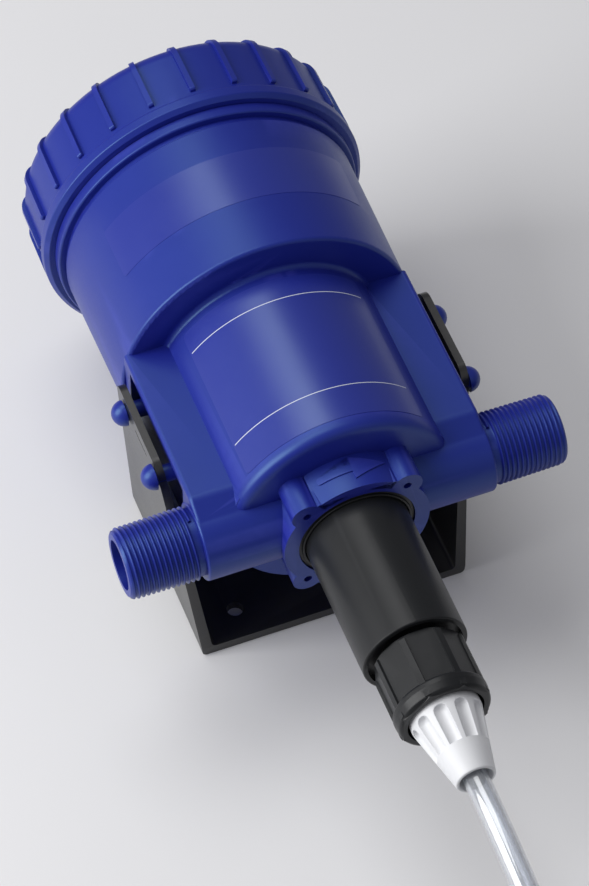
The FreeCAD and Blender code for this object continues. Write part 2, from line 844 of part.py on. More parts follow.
def motor_piston():
    """Big disc, tube and small disc, with the valve holes and the toggle's pivots."""
    body = piece("motor_piston")
    disc_high = dim.disc_low + dim.disc_thick
    foot_high = dim.foot_low + dim.foot_thick
    big = dim.motor_bore - dim.disc_slack
    small = dim.sleeve_bore - dim.disc_slack
    big_groove = dim.motor_bore - dim.seal_rub - dim.ring_wire * 2
    small_groove = dim.sleeve_bore - dim.seal_rub - dim.ring_wire * 2
    inside = dim.tube_radius - dim.tube_wall
    disc_middle = dim.disc_low + dim.disc_thick / 2
    foot_middle = dim.foot_low + dim.foot_thick / 2
    hole = dim.trip_radius + dim.running_gap
    turned(body, [
        (0, dim.foot_low),
        (small, dim.foot_low),
        (small, foot_middle - dim.ring_wire),
        (small_groove, foot_middle - dim.ring_wire),
        (small_groove, foot_middle + dim.ring_wire),
        (small, foot_middle + dim.ring_wire),
        (small, foot_high),
        (dim.tube_radius, foot_high, 1.5),
        (dim.tube_radius, dim.disc_low, 2),
        (big, dim.disc_low),
        (big, disc_middle - dim.ring_wire),
        (big_groove, disc_middle - dim.ring_wire),
        (big_groove, disc_middle + dim.ring_wire),
        (big, disc_middle + dim.ring_wire),
        (big, disc_high),
        (hole, disc_high),
        (hole, dim.disc_low),
        (inside, dim.disc_low, 2),
        (inside, foot_high, 1.5),
        (0, foot_high),
    ])
    holes = on_circle(1, 4, 45)
    for across, out in holes:
        spot = (dim.valve_circle * across, dim.foot_low - 1, dim.valve_circle * out)
        round_bar(body, dim.valve_hole, spot, disc_high - dim.foot_low + 2, UP, cut=True)
    far = dim.tube_radius + 1
    side = dim.window_half
    low, high = dim.window_low, dim.window_high
    block(body, (-side, low, -far), (side, high, far), cut=True)
    block(body, (-far, low, -side), (far, high, side), cut=True)
    for side in (-1, 1):
        spot = (dim.lever_place * side, lever_height, -dim.lever_pin_half)
        round_bar(body, dim.lever_pin, spot, dim.lever_pin_half * 2, OUT)
    return body


def motor_seals():
    """The rubber rings of the bell, the two piston discs and the injection cylinder."""
    disc_middle = dim.disc_low + dim.disc_thick / 2
    foot_middle = dim.foot_low + dim.foot_thick / 2
    wire = dim.ring_wire - dim.seal_gap
    rubber_ring("bell_seal", dim.neck_radius - dim.ring_wire - 0.2,
                dim.neck_high + dim.ring_wire, wire)
    rubber_ring("piston_seal", dim.motor_bore - dim.seal_rub - dim.ring_wire, disc_middle, wire)
    rubber_ring("sleeve_seal", dim.sleeve_bore - dim.seal_rub - dim.ring_wire, foot_middle, wire)
    rubber_ring("cylinder_seal", dim.cylinder_radius - dim.ring_wire + 0.1,
                dim.socket_top - 2.6, wire)


def valves(label, low):
    """Four flat valves on one level, which the carrier lifts together."""
    body = piece(label)
    middle = dim.valve_circle
    ring = [
        (middle - 3, low),
        (middle + 3, low),
        (middle + 3, low + dim.valve_thick),
        (middle - 3, low + dim.valve_thick),
    ]
    turned(body, ring)
    for across, out in on_circle(1, 4, 45):
        spot = (middle * across, low, middle * out)
        round_bar(body, dim.valve_radius, spot, dim.valve_thick, UP)
    return body


def valve_carrier():
    """The bridge inside the piston whose four posts carry the valves."""
    body = piece("valve_carrier")
    width = dim.carrier_half_depth
    low = carrier_low
    for turn in (45, -45):
        bar = block(body, (-dim.carrier_half, low, -width),
                    (dim.carrier_half, low + dim.carrier_thick, width))
        along = FreeCAD.Rotation(FreeCAD.Vector(0, 1, 0), turn)
        reach = math.cos(math.radians(turn))
        drop = math.sin(math.radians(turn))
        spot = (-dim.carrier_half * reach - width * drop, low,
                dim.carrier_half * drop - width * reach)
        place(bar, spot, along)
    post_low = dim.foot_low - dim.valve_lift - dim.running_gap
    post_high = dim.disc_low + dim.disc_thick + dim.running_gap
    for across, out in on_circle(1, 4, 45):
        spot = (dim.valve_circle * across, post_low, dim.valve_circle * out)
        round_bar(body, dim.post_radius, spot, post_high - post_low, UP)
    round_bar(body, dim.trip_radius + dim.fit_gap, (0, low - 1, 0), dim.carrier_thick + 2, UP,
              cut=True)
    return body


def trip_rod():
    """The rod that meets the bell or the floor at each end of the stroke."""
    body = piece("trip_rod")
    slot = dim.lever_thick / 2 + 0.5
    tip = lever_height - dim.trip_travel / 2
    turned(body, [
        (0, trip_low),
        (dim.trip_collar, trip_low),
        (dim.trip_collar, trip_low + 2),
        (dim.trip_radius, trip_low + 2),
        (dim.trip_radius, tip - slot - 2),
        (dim.trip_collar, tip - slot - 2),
        (dim.trip_collar, tip - slot),
        (dim.trip_radius, tip - slot),
        (dim.trip_radius, tip + slot),
        (dim.trip_collar, tip + slot),
        (dim.trip_collar, tip + slot + 2),
        (dim.trip_radius, tip + slot + 2),
        (dim.trip_radius, trip_low + dim.trip_length, 0.8),
        (0, trip_low + dim.trip_length),
    ])
    return body


def toggle_lever(label, side):
    """One toggle lever, from its pivot in the piston to the slot in the trip rod."""
    swing = math.degrees(math.asin(dim.trip_travel.value / 2 / dim.lever_reach.value))
    turn = FreeCAD.Rotation(FreeCAD.Vector(0, 0, 1), swing * side)
    body = piece(label, (dim.lever_place * side, lever_height, 0), turn)
    half = dim.lever_thick / 2
    start = -dim.lever_reach * side
    arm = [(start, -half), (0, -half), (0, half), (start, half)]
    padded(body, "XY_Plane", [arm], dim.lever_thick, middle=True)
    round_bar(body, dim.lever_eye, (0, 0, -half), dim.lever_thick, OUT)
    round_bar(body, dim.lever_pin + dim.running_gap, (0, 0, -half - 1), dim.lever_thick + 2, OUT,
              cut=True)
    return body


def trip_spring():
    """The spring that snaps the trip rod over, between its foot and the carrier."""
    low = trip_low + 2.1
    high = carrier_low - dim.trip_travel / 2
    coil_spring("trip_spring", dim.trip_radius + 1.6, low, high, 4)


# ---- the injection stem --------------------------------------------------------------


def plunger_rod():
    """The plunger that hangs under the motor piston and meters the additive."""
    body = piece("plunger_rod")
    turned(body, [
        (0, dim.plunger_low),
        (dim.plunger_radius, dim.plunger_low, 0.8),
        (dim.plunger_radius, dim.foot_low - 3),
        (dim.plunger_radius + 3, dim.foot_low - 3),
        (dim.plunger_radius + 3, dim.foot_low),
        (0, dim.foot_low),
    ])
    return body


def injection_cylinder():
    """The black cylinder under the body, with the plunger's bore down its middle."""
    body = piece("injection_cylinder")
    top = dim.socket_top - dim.fit_gap
    groove = dim.socket_top - 2.6
    recess = dim.cylinder_low + dim.cylinder_recess
    rod = dim.plunger_radius + dim.running_gap
    seal = dim.plunger_seal_radius
    turned(body, [
        (seal, top),
        (seal, top - dim.plunger_seal_thick),
        (rod, top - dim.plunger_seal_thick),
        (rod, top - dim.plunger_seal_thick - dim.gland_length),
        (dim.dosing_bore, top - dim.plunger_seal_thick - dim.gland_length),
        (dim.dosing_bore, dim.valve_chamber_top),
        (dim.valve_chamber, dim.valve_chamber_top),
        (dim.valve_chamber, dim.spigot_low),
        (dim.spigot_radius, dim.spigot_low),
        (dim.spigot_radius, recess),
        (dim.cylinder_radius - dim.cylinder_rim, recess),
        (dim.cylinder_radius - dim.cylinder_rim, dim.cylinder_low),
        (dim.cylinder_radius, dim.cylinder_low, 0.6),
        (dim.cylinder_radius, groove - dim.ring_wire),
        (dim.cylinder_radius - dim.ring_wire * 2 + 0.1, groove - dim.ring_wire),
        (dim.cylinder_radius - dim.ring_wire * 2 + 0.1, groove + dim.ring_wire),
        (dim.cylinder_radius, groove + dim.ring_wire),
        (dim.cylinder_radius, top),
    ])
    return body


def plunger_seal():
    """The lip seal that keeps drive water out of the dosing bore."""
    body = piece("plunger_seal")
    top = dim.socket_top - dim.fit_gap
    inner = dim.plunger_radius + dim.running_gap
    outer = dim.plunger_seal_radius - dim.seal_gap
    turned(body, [
        (inner, top - dim.plunger_seal_thick),
        (outer, top - dim.plunger_seal_thick),
        (outer, top),
        (inner + 1.2, top),
        (inner + 1.2, top - 1),
        (inner, top),
    ])
    return body


def gland_ring():
    """The black ring that holds the injection cylinder in the collar."""
    body = piece("gland_ring")
    inner = dim.cylinder_radius + dim.fit_gap
    outer = dim.recess_radius - dim.running_gap
    low = dim.collar_low - dim.gland_ring_proud
    turned(body, [
        (inner, low),
        (outer - dim.gland_ring_lip, low),
        (outer - dim.gland_ring_lip, low + 1.2),
        (outer, low + 1.2),
        (outer, dim.recess_top),
        (inner, dim.recess_top),
    ])
    return body


def ring_nut():
    """The eight-sided nut with a rib on every corner, which clamps the hose tail."""
    body = piece("ring_nut")
    corner = dim.nut_flat / math.cos(math.pi / 8)
    flats = [(corner * x, corner * y) for x, y in on_circle(1, 8, 180 / 8)]
    tall = dim.nut_top - dim.nut_low
    padded(body, "XZ_Plane", [flats], tall, away=-dim.nut_top)
    turned(body, [
        (dim.nut_mouth, dim.nut_low),
        (dim.nut_collar - 0.6, dim.nut_low, 1.6),
        (dim.nut_collar, dim.nut_collar_top - 2.6, 2),
        (dim.nut_collar, dim.nut_collar_top, 1.2),
        (dim.nut_mouth, dim.nut_collar_top),
    ])
    rib = block(body, (dim.nut_flat - 1, dim.nut_low + 1, -dim.nut_rib_width / 2),
                (dim.nut_rib_radius, dim.nut_top - 1.2, dim.nut_rib_width / 2))
    turn = FreeCAD.Rotation(FreeCAD.Vector(0, 1, 0), 22.5)
    reach = math.cos(math.radians(22.5))
    drop = math.sin(math.radians(22.5))
    across = dim.nut_flat - 1
    side = dim.nut_rib_width / 2
    spot = (across * reach - side * drop, dim.nut_low + 1, -across * drop - side * reach)
    place(rib, spot, turn)
    around(body, [rib], dim.nut_ribs)
    turned(body, [
        (dim.nut_flat + 0.3, dim.nut_top + 1),
        (dim.nut_flat + 0.3, dim.nut_top),
        (dim.nut_rib_radius, dim.nut_top - 1.6),
        (dim.nut_rib_radius + 2, dim.nut_top - 1.6),
        (dim.nut_rib_radius + 2, dim.nut_top + 1),
    ], cut=True)
    turned(body, [
        (0, dim.nut_top + 1),
        (dim.spigot_radius + dim.fit_gap, dim.nut_top + 1),
        (dim.spigot_radius + dim.fit_gap, dim.nut_shelf_top),
        (dim.nut_shelf_bore, dim.nut_shelf_top),
        (dim.nut_shelf_bore, nut_shelf_low),
        (dim.nut_mouth, nut_shelf_low),
        (dim.nut_mouth, dim.nut_low - 1),
        (0, dim.nut_low - 1),
    ], cut=True)
    return body


def hose_tail():
    """The foot of the suction valve: flange, threaded neck and hose spigot."""
    body = piece("hose_tail")
    flange_low = dim.nut_shelf_top + 0.1
    turned(body, [
        (dim.seat_bore, dim.spigot_low),
        (dim.tail_flange, dim.spigot_low),
        (dim.tail_flange, flange_low),
        (dim.tail_neck, flange_low),
        (dim.tail_neck, nut_shelf_low - 1.5),
        (dim.tail_thread, nut_shelf_low - 1.5),
        (dim.tail_thread, dim.tail_thread_low),
        (dim.tail_barb, dim.tail_thread_low),
        (dim.tail_barb, dim.tail_low),
        (dim.tail_bore, dim.tail_low),
        (dim.tail_bore, dim.spigot_low - 4),
        (dim.seat_bore, dim.spigot_low - 2),
    ])
    return body


def suction_valve():
    """The cone that lifts to let additive in and falls back on its seat."""
    body = piece("suction_valve")
    seat = dim.spigot_low + 0.1
    turned(body, [
        (0, seat - 1.4),
        (dim.seat_bore - 0.5, seat - 1.4),
        (dim.seat_bore - 0.5, seat),
        (dim.stop_cone, seat),
        (dim.stop_cone, seat + 1.4),
        (dim.stop_stem, seat + 2),
        (dim.stop_stem, seat + 3.6),
        (0, seat + 3.6),
    ])
    return body


def suction_spring():
    """The light spring above the suction valve."""
    low = dim.spigot_low + 2.2
    coil_spring("suction_spring", dim.stop_cone + 1, low, dim.valve_chamber_top - 0.1, 3)


def hose_nut():
    """The white fluted cone that presses the hose on to its tail."""
    body = piece("hose_nut")
    turned(body, [
        (dim.tail_thread + dim.fit_gap, dim.cone_top),
        (dim.cone_big, dim.cone_top, 0.8),
        (dim.cone_big, dim.nut_low - 0.8, 1),
        (dim.cone_small, dim.cone_low, 0.6),
        (dim.cone_throat + 1.3, dim.cone_low),
        (dim.cone_throat, dim.cone_low + 3),
        (dim.cone_throat, dim.tail_thread_low - 0.6),
        (dim.tail_thread + dim.fit_gap, dim.tail_thread_low - 0.6),
    ])
    lean = math.degrees(math.atan2(dim.flute_lean.value, dim.flute_length.value))
    inwards = FreeCAD.Rotation(FreeCAD.Vector(0, 0, 1), -lean) * DOWN
    start = (dim.flute_place, dim.flute_top, 0)
    bar = round_bar(body, dim.flute_radius, start, dim.flute_length, inwards, cut=True)
    ball = body.newObject("PartDesign::SubtractiveSphere", "Flute_end")
    bind(ball, "Radius", dim.flute_radius)
    place(ball, start)
    around(body, [bar, ball], dim.cone_flutes)
    return body


# ---- the suction hose ----------------------------------------------------------------


def hose_tube(label, points, radius):
    """A hose along straight runs joined by arcs as large as the runs allow."""
    spots = [FreeCAD.Vector(*point) for point in points]
    edges = []
    last = spots[0]
    radii = []
    for before, here, after in zip(spots, spots[1:], spots[2:]):
        inward = (here - before).normalize()
        outward = (after - here).normalize()
        reach = 0.45 * min((here - before).Length, (after - here).Length)
        radii.append(reach / math.tan(inward.getAngle(outward) / 2))
        enter = here - inward * reach
        leave = here + outward * reach
        side = (outward - inward).normalize()
        centre = here + side * math.hypot(reach, radii[-1])
        middle = centre - side * radii[-1]
        edges.append(Part.LineSegment(last, enter).toShape())
        edges.append(Part.Arc(enter, middle, leave).toShape())
        last = leave
    edges.append(Part.LineSegment(last, spots[-1]).toShape())
    path = Part.Wire(edges)
    section = Part.Wire(Part.Circle(spots[0], spots[1] - spots[0], radius.value).toShape())
    tube = document.addObject("Part::Feature", label)
    tube.Label = label
    tube.Shape = path.makePipeShell([section], True, True)
    pieces.append(tube)
    share = tube.Shape.Volume / (math.pi * radius.value ** 2 * path.Length)
    print(label, "length", round(path.Length, 1), "radii", [round(r) for r in radii],
          "volume over section times length", round(share, 4))
    return tube


def hose_coil():
    """The hose's put-away turns: two flat on the floor and a third on top of them."""
    body = document.addObject("PartDesign::Body", "hose_coil")
    body.Label = "hose_coil"
    place(body, (COIL_MIDDLE[0], COIL_MIDDLE[1], 0))
    pieces.append(body)
    edge = dim.hose_radius
    turned(body, [
        (dim.coil_inner, 0, 3),
        (dim.coil_outer, 0, 3),
        (dim.coil_outer, edge * 2, 3),
        (dim.coil_outer - edge * 2, dim.coil_high, 3),
        (dim.coil_inner + edge, dim.coil_high, 3),
        (dim.coil_inner, edge * 2, 3),
    ], plane="XZ_Plane")
    return body


def strainer_spot():
    """Where the strainer begins, at the end of the hose."""
    return (sized(RUN_OUT[-1][0]), sized(RUN_OUT[-1][1]), dim.strainer_radius)


def strainer_piece(label):
    body = document.addObject("PartDesign::Body", label)
    body.Label = label
    place(body, strainer_spot())
    pieces.append(body)
    return body


def strainer_body():
    """The slotted cap that keeps grit out of the hose."""
    body = strainer_piece("strainer_body")
    inner = dim.strainer_radius - dim.strainer_wall
    far = dim.strainer_length
    turned(body, [
        (0, 0),
        (dim.hose_radius + 1, 0, 0.6),
        (dim.strainer_radius - 2, 8),
        (dim.strainer_radius, 9),
        (dim.strainer_radius, far, 1),
        (inner, far),
        (inner, dim.strainer_nose),
        (0, dim.strainer_nose),
    ])
    slot_low = dim.strainer_nose + dim.weight_length + dim.slot_gap
    slot = block(body, (inner - 1, slot_low, -dim.strainer_slot / 2),
                 (dim.strainer_radius + 1, far - 4, dim.strainer_slot / 2), cut=True)
    around(body, [slot], dim.strainer_slots)
    return body


def strainer_weight():
    """The weight inside the strainer that keeps the hose's end at the bottom of the tub."""
    body = strainer_piece("strainer_weight")
    low = dim.strainer_nose
    turned(body, [
        (0, low),
        (dim.weight_radius, low, 0.8),
        (dim.weight_radius, low + dim.weight_length, 0.8),
        (0, low + dim.weight_length),
    ])
    return body


def build():
    wall_bracket()
    pump_body()
    bell_housing()
    bleed_button()
    bleed_parts()
    motor_piston()
    motor_seals()
    disc_high = dim.disc_low + dim.disc_thick
    valves("upper_valves", disc_high + dim.running_gap)
    valves("lower_valves", dim.foot_low - dim.valve_lift - dim.running_gap - dim.valve_thick)
    valve_carrier()
    trip_rod()
    trip_spring()
    toggle_lever("toggle_lever_left", -1)
    toggle_lever("toggle_lever_right", 1)
    plunger_rod()
    injection_cylinder()
    plunger_seal()
    gland_ring()
    ring_nut()
    hose_tail()
    suction_valve()
    suction_spring()
    hose_nut()
    hose_tube("suction_hose", HOSE_ROUTE, dim.hose_radius)
    hose_coil()
    hose_tube("hose_run_out", RUN_OUT, dim.hose_radius)
    strainer_body()
    strainer_weight()


def check():
    """Stops before anything is written if a feature failed or a piece isn't sound."""
    for thing in document.Objects:
        if "Invalid" in thing.State or "Error" in thing.State:
            raise RuntimeError(f"{thing.Name} ({thing.Label}) failed: {thing.State}")
    for thing in pieces:
        shape = thing.Shape
        if shape.isNull() or not shape.isValid() or len(shape.Solids) != 1:
            raise RuntimeError(f"{thing.Label} isn't one sound solid: {len(shape.Solids)}")


def export():
    os.makedirs("parts", exist_ok=True)
    for thing in pieces:
        thing.Shape.exportStep(f"parts/{thing.Label}.step")


build()
document.recompute()
check()
export()
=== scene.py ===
"""Dresses the water-powered dosing pump on its wall bracket.

It rounds the moulded edges, sweeps the ports' threads, cuts the hose nut's flutes, lays the
bare films and the suction hose, gives every piece its finish and sets up a plain stage.
"""

import json
import math

import bmesh
import bpy
from bpy.props import FloatProperty, FloatVectorProperty, PointerProperty
from mathutils import Matrix, Vector


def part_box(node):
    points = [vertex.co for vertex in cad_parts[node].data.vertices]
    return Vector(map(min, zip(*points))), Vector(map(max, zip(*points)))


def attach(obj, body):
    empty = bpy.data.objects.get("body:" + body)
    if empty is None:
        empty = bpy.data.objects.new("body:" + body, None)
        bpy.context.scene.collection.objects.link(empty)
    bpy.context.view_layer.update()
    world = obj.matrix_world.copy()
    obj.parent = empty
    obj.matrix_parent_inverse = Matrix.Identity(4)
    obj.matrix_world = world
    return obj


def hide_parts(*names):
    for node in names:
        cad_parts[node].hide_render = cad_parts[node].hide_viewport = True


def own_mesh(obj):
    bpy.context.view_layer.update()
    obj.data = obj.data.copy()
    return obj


bl_info = {
    "name": "Dosing Pump Dresser",
    "version": (1, 0, 0),
    "blender": (4, 5, 0),
    "location": "View3D > Sidebar > Dosing Pump",
    "description": "Models the skins, threads, hose and finishes of a water-powered dosing pump",
    "category": "Object",
}

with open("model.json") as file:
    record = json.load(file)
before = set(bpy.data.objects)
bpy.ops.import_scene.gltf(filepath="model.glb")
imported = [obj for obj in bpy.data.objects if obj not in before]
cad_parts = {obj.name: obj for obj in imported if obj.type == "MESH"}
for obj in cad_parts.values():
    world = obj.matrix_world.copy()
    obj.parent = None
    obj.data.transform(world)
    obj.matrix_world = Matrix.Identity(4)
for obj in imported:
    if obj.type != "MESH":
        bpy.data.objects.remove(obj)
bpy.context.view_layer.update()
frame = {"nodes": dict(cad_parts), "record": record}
NODES = frame["nodes"]
MOUNTS = {mount["name"]: mount for mount in frame["record"]["mounts"]}

# The pump's own origin: where the ports' axis crosses the pump's axis.
ORIGIN = Vector((0, *MOUNTS["inlet_thread"]["pos_m"][1:]))
THREAD_ROOT = MOUNTS["inlet_thread"]["dims"]["r_mm"] / 1000
MM = 0.001

LATHE_STEPS = 160  # faces round a turned piece
WELD = 2e-6  # points of a solid that are nearer than this are one
FLAT = math.radians(0.05)  # faces that meet at less than this are one
EDGE = math.radians(28)  # faces that meet at more than this have a rounded edge
STEEP = math.radians(32)  # faces that meet at more than this have a sharp edge

# The body's round middle, in the pump's own frame: its radius, its flat underside, the top
# of its rounded rim, the ports' outer radius and the collar's lower end.
CORE_RADIUS = 41.5 * MM
UNDERSIDE = -3.5 * MM
RIM_TOP = 2.4 * MM
PORT_RADIUS = 14.5 * MM
COLLAR_LOW = -16.8 * MM

# The plain ends of the ports, along the ports' axis.
THREAD_START = 54.3 * MM
THREAD_END = 80.7 * MM

# The bare films, in degrees round the front and in heights, and the motor cylinder's radius
# at the name film's lower and upper edge.
LABEL_SPAN = (-52.5, 50)
LABEL_TOP = 67 * MM
RULE_SPAN = (-51.5, 47.5)
RULE_HEIGHTS = {"label_rule_upper": 58.2 * MM, "label_rule_lower": 15.4 * MM}
RULE_WIDTH = 0.3 * MM
NAME_SPAN = (-53.6, 53.6)
NAME_HEIGHTS = (93.6 * MM, 115.4 * MM)
MOTOR_RADII = (55.39 * MM, 55.77 * MM)

# The suction hose: its radius, and in millimetres the points of its route from
# the hose nut to the coil and from the coil to the strainer.
HOSE_RADIUS = 4.5 * MM
HOSE_RUN = [(0, -161.5, 79.5), (0, -221, 79.5), (0, -266, 44), (0, -301, 4.5), (-2, -348, 4.5)]
HOSE_OUT = [(-103, -326, 13.8), (-103, -290, 13.6), (-103, -250, 10)]
COIL_MIDDLE = (-56, -330)


def node_span(node):
    """Lowest and highest corner of a node in the pump's own frame."""
    low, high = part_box(node)
    return low - ORIGIN, high - ORIGIN


# ---- sizes and colours that can be set in the sidebar --------------------------------


def length(name, description, default):
    """A length that can be set in the sidebar."""
    return FloatProperty(name=name, description=description, default=default, subtype="DISTANCE",
                         unit="LENGTH")


def colour(name, description, default):
    """A base colour that can be set in the sidebar."""
    return FloatVectorProperty(name=name, description=description, default=default,
                               subtype="COLOR", size=3, min=0, max=1)


class PumpSizes(bpy.types.PropertyGroup):
    """Sizes of the details that are modelled on the pump"""

    thread_pitch: length("Thread pitch", "From crest to crest of the ports' thread", 1.81 * MM)
    thread_depth: length("Thread depth", "Height of the thread at its inner end", 1.05 * MM)
    thread_taper: length("Thread taper", "How much lower the crests are at the port's end",
                         0.35 * MM)
    flute_radius: length("Flute radius", "Radius of the hose nut's flutes", 2.7 * MM)
    flute_length: length("Flute length", "From a flute's round end to the smooth ring", 11.4 * MM)
    flute_place: length("Flute place", "From the pump's axis to a flute's round end", 12.6 * MM)
    flute_top: length("Flute depth", "From the ports' axis down to a flute's round end",
                      102.2 * MM)
    flute_lean: FloatProperty(name="Flute lean", description="How far a flute leans inwards",
                              default=math.radians(10.2), subtype="ANGLE", unit="ROTATION")
    rim_round: length("Rim rounding", "Rounding of the round middle's lower rim", 4 * MM)
    edge_round: length("Edge rounding", "Rounding of the moulded edges", 0.45 * MM)
    hose_wall: length("Hose wall", "Wall of the suction hose", 1.5 * MM)
    label_thick: length("Label film", "Thickness of the bare label film", 0.15 * MM)


class PumpColours(bpy.types.PropertyGroup):
    """Base colours of the pump's materials"""

    blue: colour("Body blue", "Moulded body and bell", (0.0095, 0.0140, 0.2350))
    film: colour("Label film", "Bare label film on the body", (0.0115, 0.0195, 0.2550))
    black: colour("Stem black", "Injection cylinder and nut", (0.0125, 0.0135, 0.015))
    bracket: colour("Bracket black", "Wall bracket", (0.0085, 0.0085, 0.009))
    white: colour("Nut white", "Hose nut", (0.72, 0.73, 0.75))
    hose: colour("Hose tint", "Clear hose", (0.84, 0.87, 0.92))
    acetal: colour("Acetal", "Pale inner mouldings", (0.62, 0.62, 0.58))
    grey: colour("Grey moulding", "Grey inner mouldings", (0.09, 0.1, 0.11))
    steel: colour("Spring steel", "Springs and trip rod", (0.55, 0.55, 0.56))
    ceramic: colour("Ceramic", "Weight in the strainer", (0.55, 0.52, 0.46))
    floor: colour("Floor", "Plain pale floor", (0.78, 0.78, 0.79))


def sizes():
    """The sizes as they are set in the sidebar."""
    return bpy.context.scene.pump_sizes


def colours():
    """The colours as they are set in the sidebar."""
    return bpy.context.scene.pump_colours


# ---- shader node groups --------------------------------------------------------------


def new_group(name, inputs, outputs):
    """An empty shader group with named sockets; each socket is (name, kind, default)."""
    group = bpy.data.node_groups.new(name, "ShaderNodeTree")
    for label, kind, default in inputs:
        socket = group.interface.new_socket(label, in_out="INPUT", socket_type=kind)
        socket.default_value = default
    for label, kind in outputs:
        group.interface.new_socket(label, in_out="OUTPUT", socket_type=kind)
    return group, group.nodes.new("NodeGroupInput"), group.nodes.new("NodeGroupOutput")


def maths(tree, operation, *values, clamp=False):
    """A sum of sockets or numbers."""
    node = tree.nodes.new("ShaderNodeMath")
    node.operation = operation
    node.use_clamp = clamp
    for socket, value in zip(node.inputs, values):
        if isinstance(value, bpy.types.NodeSocket):
            tree.links.new(value, socket)
        else:
            socket.default_value = value
    return node.outputs[0]


def noise(tree, scale, detail=3.0, roughness=0.5, stretch=None):
    """Noise over the object's own coordinates."""
    place = tree.nodes.new("ShaderNodeTexCoord").outputs["Object"]
    if stretch:
        mapping = tree.nodes.new("ShaderNodeMapping")
        mapping.inputs["Scale"].default_value = stretch
        tree.links.new(place, mapping.inputs["Vector"])
        place = mapping.outputs[0]
    node = tree.nodes.new("ShaderNodeTexNoise")
    tree.links.new(place, node.inputs["Vector"])
    if isinstance(scale, bpy.types.NodeSocket):
        tree.links.new(scale, node.inputs["Scale"])
    else:
        node.inputs["Scale"].default_value = scale
    node.inputs["Detail"].default_value = detail
    node.inputs["Roughness"].default_value = roughness
    return node.outputs[0]


def mixed(tree, factor, first, second):
    """A colour mix whose inputs are sockets or colours."""
    node = tree.nodes.new("ShaderNodeMix")
    node.data_type = "RGBA"
    for index, value in ((0, factor), (6, first), (7, second)):
        if isinstance(value, bpy.types.NodeSocket):
            tree.links.new(value, node.inputs[index])
        else:
            node.inputs[index].default_value = value
    return node.outputs[2]


def moulded_skin_group():
    """Moulded plastic: faint cloudiness in the colour, uneven gloss and a fine grain."""
    found = bpy.data.node_groups.get("Moulded skin")
    if found:
        return found
    group, given, made = new_group(
        "Moulded skin",
        [("Colour", "NodeSocketColor", (0.5, 0.5, 0.5, 1)), ("Depth", "NodeSocketFloat", 0.12),
         ("Gloss", "NodeSocketFloat", 0.35), ("Spread", "NodeSocketFloat", 0.08),
         ("Grain", "NodeSocketFloat", 2200.0)],
        [("Colour", "NodeSocketColor"), ("Roughness", "NodeSocketFloat"),
         ("Height", "NodeSocketFloat")],
    )
    cloud = noise(group, 38.0, 4.0, 0.6)
    speck = noise(group, 900.0, 2.0, 0.6)
    tone = maths(group, "MULTIPLY", maths(group, "SUBTRACT", cloud, 0.5), given.outputs["Depth"])
    lift = maths(group, "ADD", 1.0, tone)
    scaled = group.nodes.new("ShaderNodeVectorMath")
    scaled.operation = "SCALE"
    group.links.new(given.outputs["Colour"], scaled.inputs[0])
    group.links.new(lift, scaled.inputs["Scale"])
    group.links.new(scaled.outputs[0], made.inputs["Colour"])
    spread = given.outputs["Spread"]
    wander = maths(group, "MULTIPLY", maths(group, "SUBTRACT", cloud, 0.5), spread)
    fleck = maths(group, "MULTIPLY", maths(group, "SUBTRACT", speck, 0.5), spread)
    rough = maths(group, "ADD", maths(group, "ADD", given.outputs["Gloss"], wander), fleck,
                  clamp=True)
    group.links.new(rough, made.inputs["Roughness"])
    group.links.new(noise(group, given.outputs["Grain"], 2.0, 0.55), made.inputs["Height"])
    return group


def edge_wear_group():
    """Slightly paler, duller plastic along sharp edges, broken up by noise."""
    found = bpy.data.node_groups.get("Edge wear")
    if found:
        return found
    group, given, made = new_group(
        "Edge wear",
        [("Amount", "NodeSocketFloat", 0.4), ("Sharpness", "NodeSocketFloat", 14.0)],
        [("Mask", "NodeSocketFloat")],
    )
    point = group.nodes.new("ShaderNodeNewGeometry").outputs["Pointiness"]
    ridge = maths(group, "MULTIPLY", maths(group, "SUBTRACT", point, 0.52),
                  given.outputs["Sharpness"], clamp=True)
    chips = maths(group, "ADD", noise(group, 260.0, 3.0, 0.6), 0.35)
    broken = maths(group, "MULTIPLY", ridge, chips)
    group.links.new(maths(group, "MULTIPLY", broken, given.outputs["Amount"], clamp=True),
                    made.inputs["Mask"])
    return group


def use_group(tree, group, **values):
    """A node that runs a group with the given values."""
    node = tree.nodes.new("ShaderNodeGroup")
    node.node_tree = group
    for label, value in values.items():
        node.inputs[label.replace("_", " ")].default_value = value
    return node


# ---- materials -----------------------------------------------------------------------


def new_material(name):
    """A new material, its node tree and its shader."""
    material = bpy.data.materials.new(name)
    material.use_nodes = True
    return material, material.node_tree, material.node_tree.nodes["Principled BSDF"]


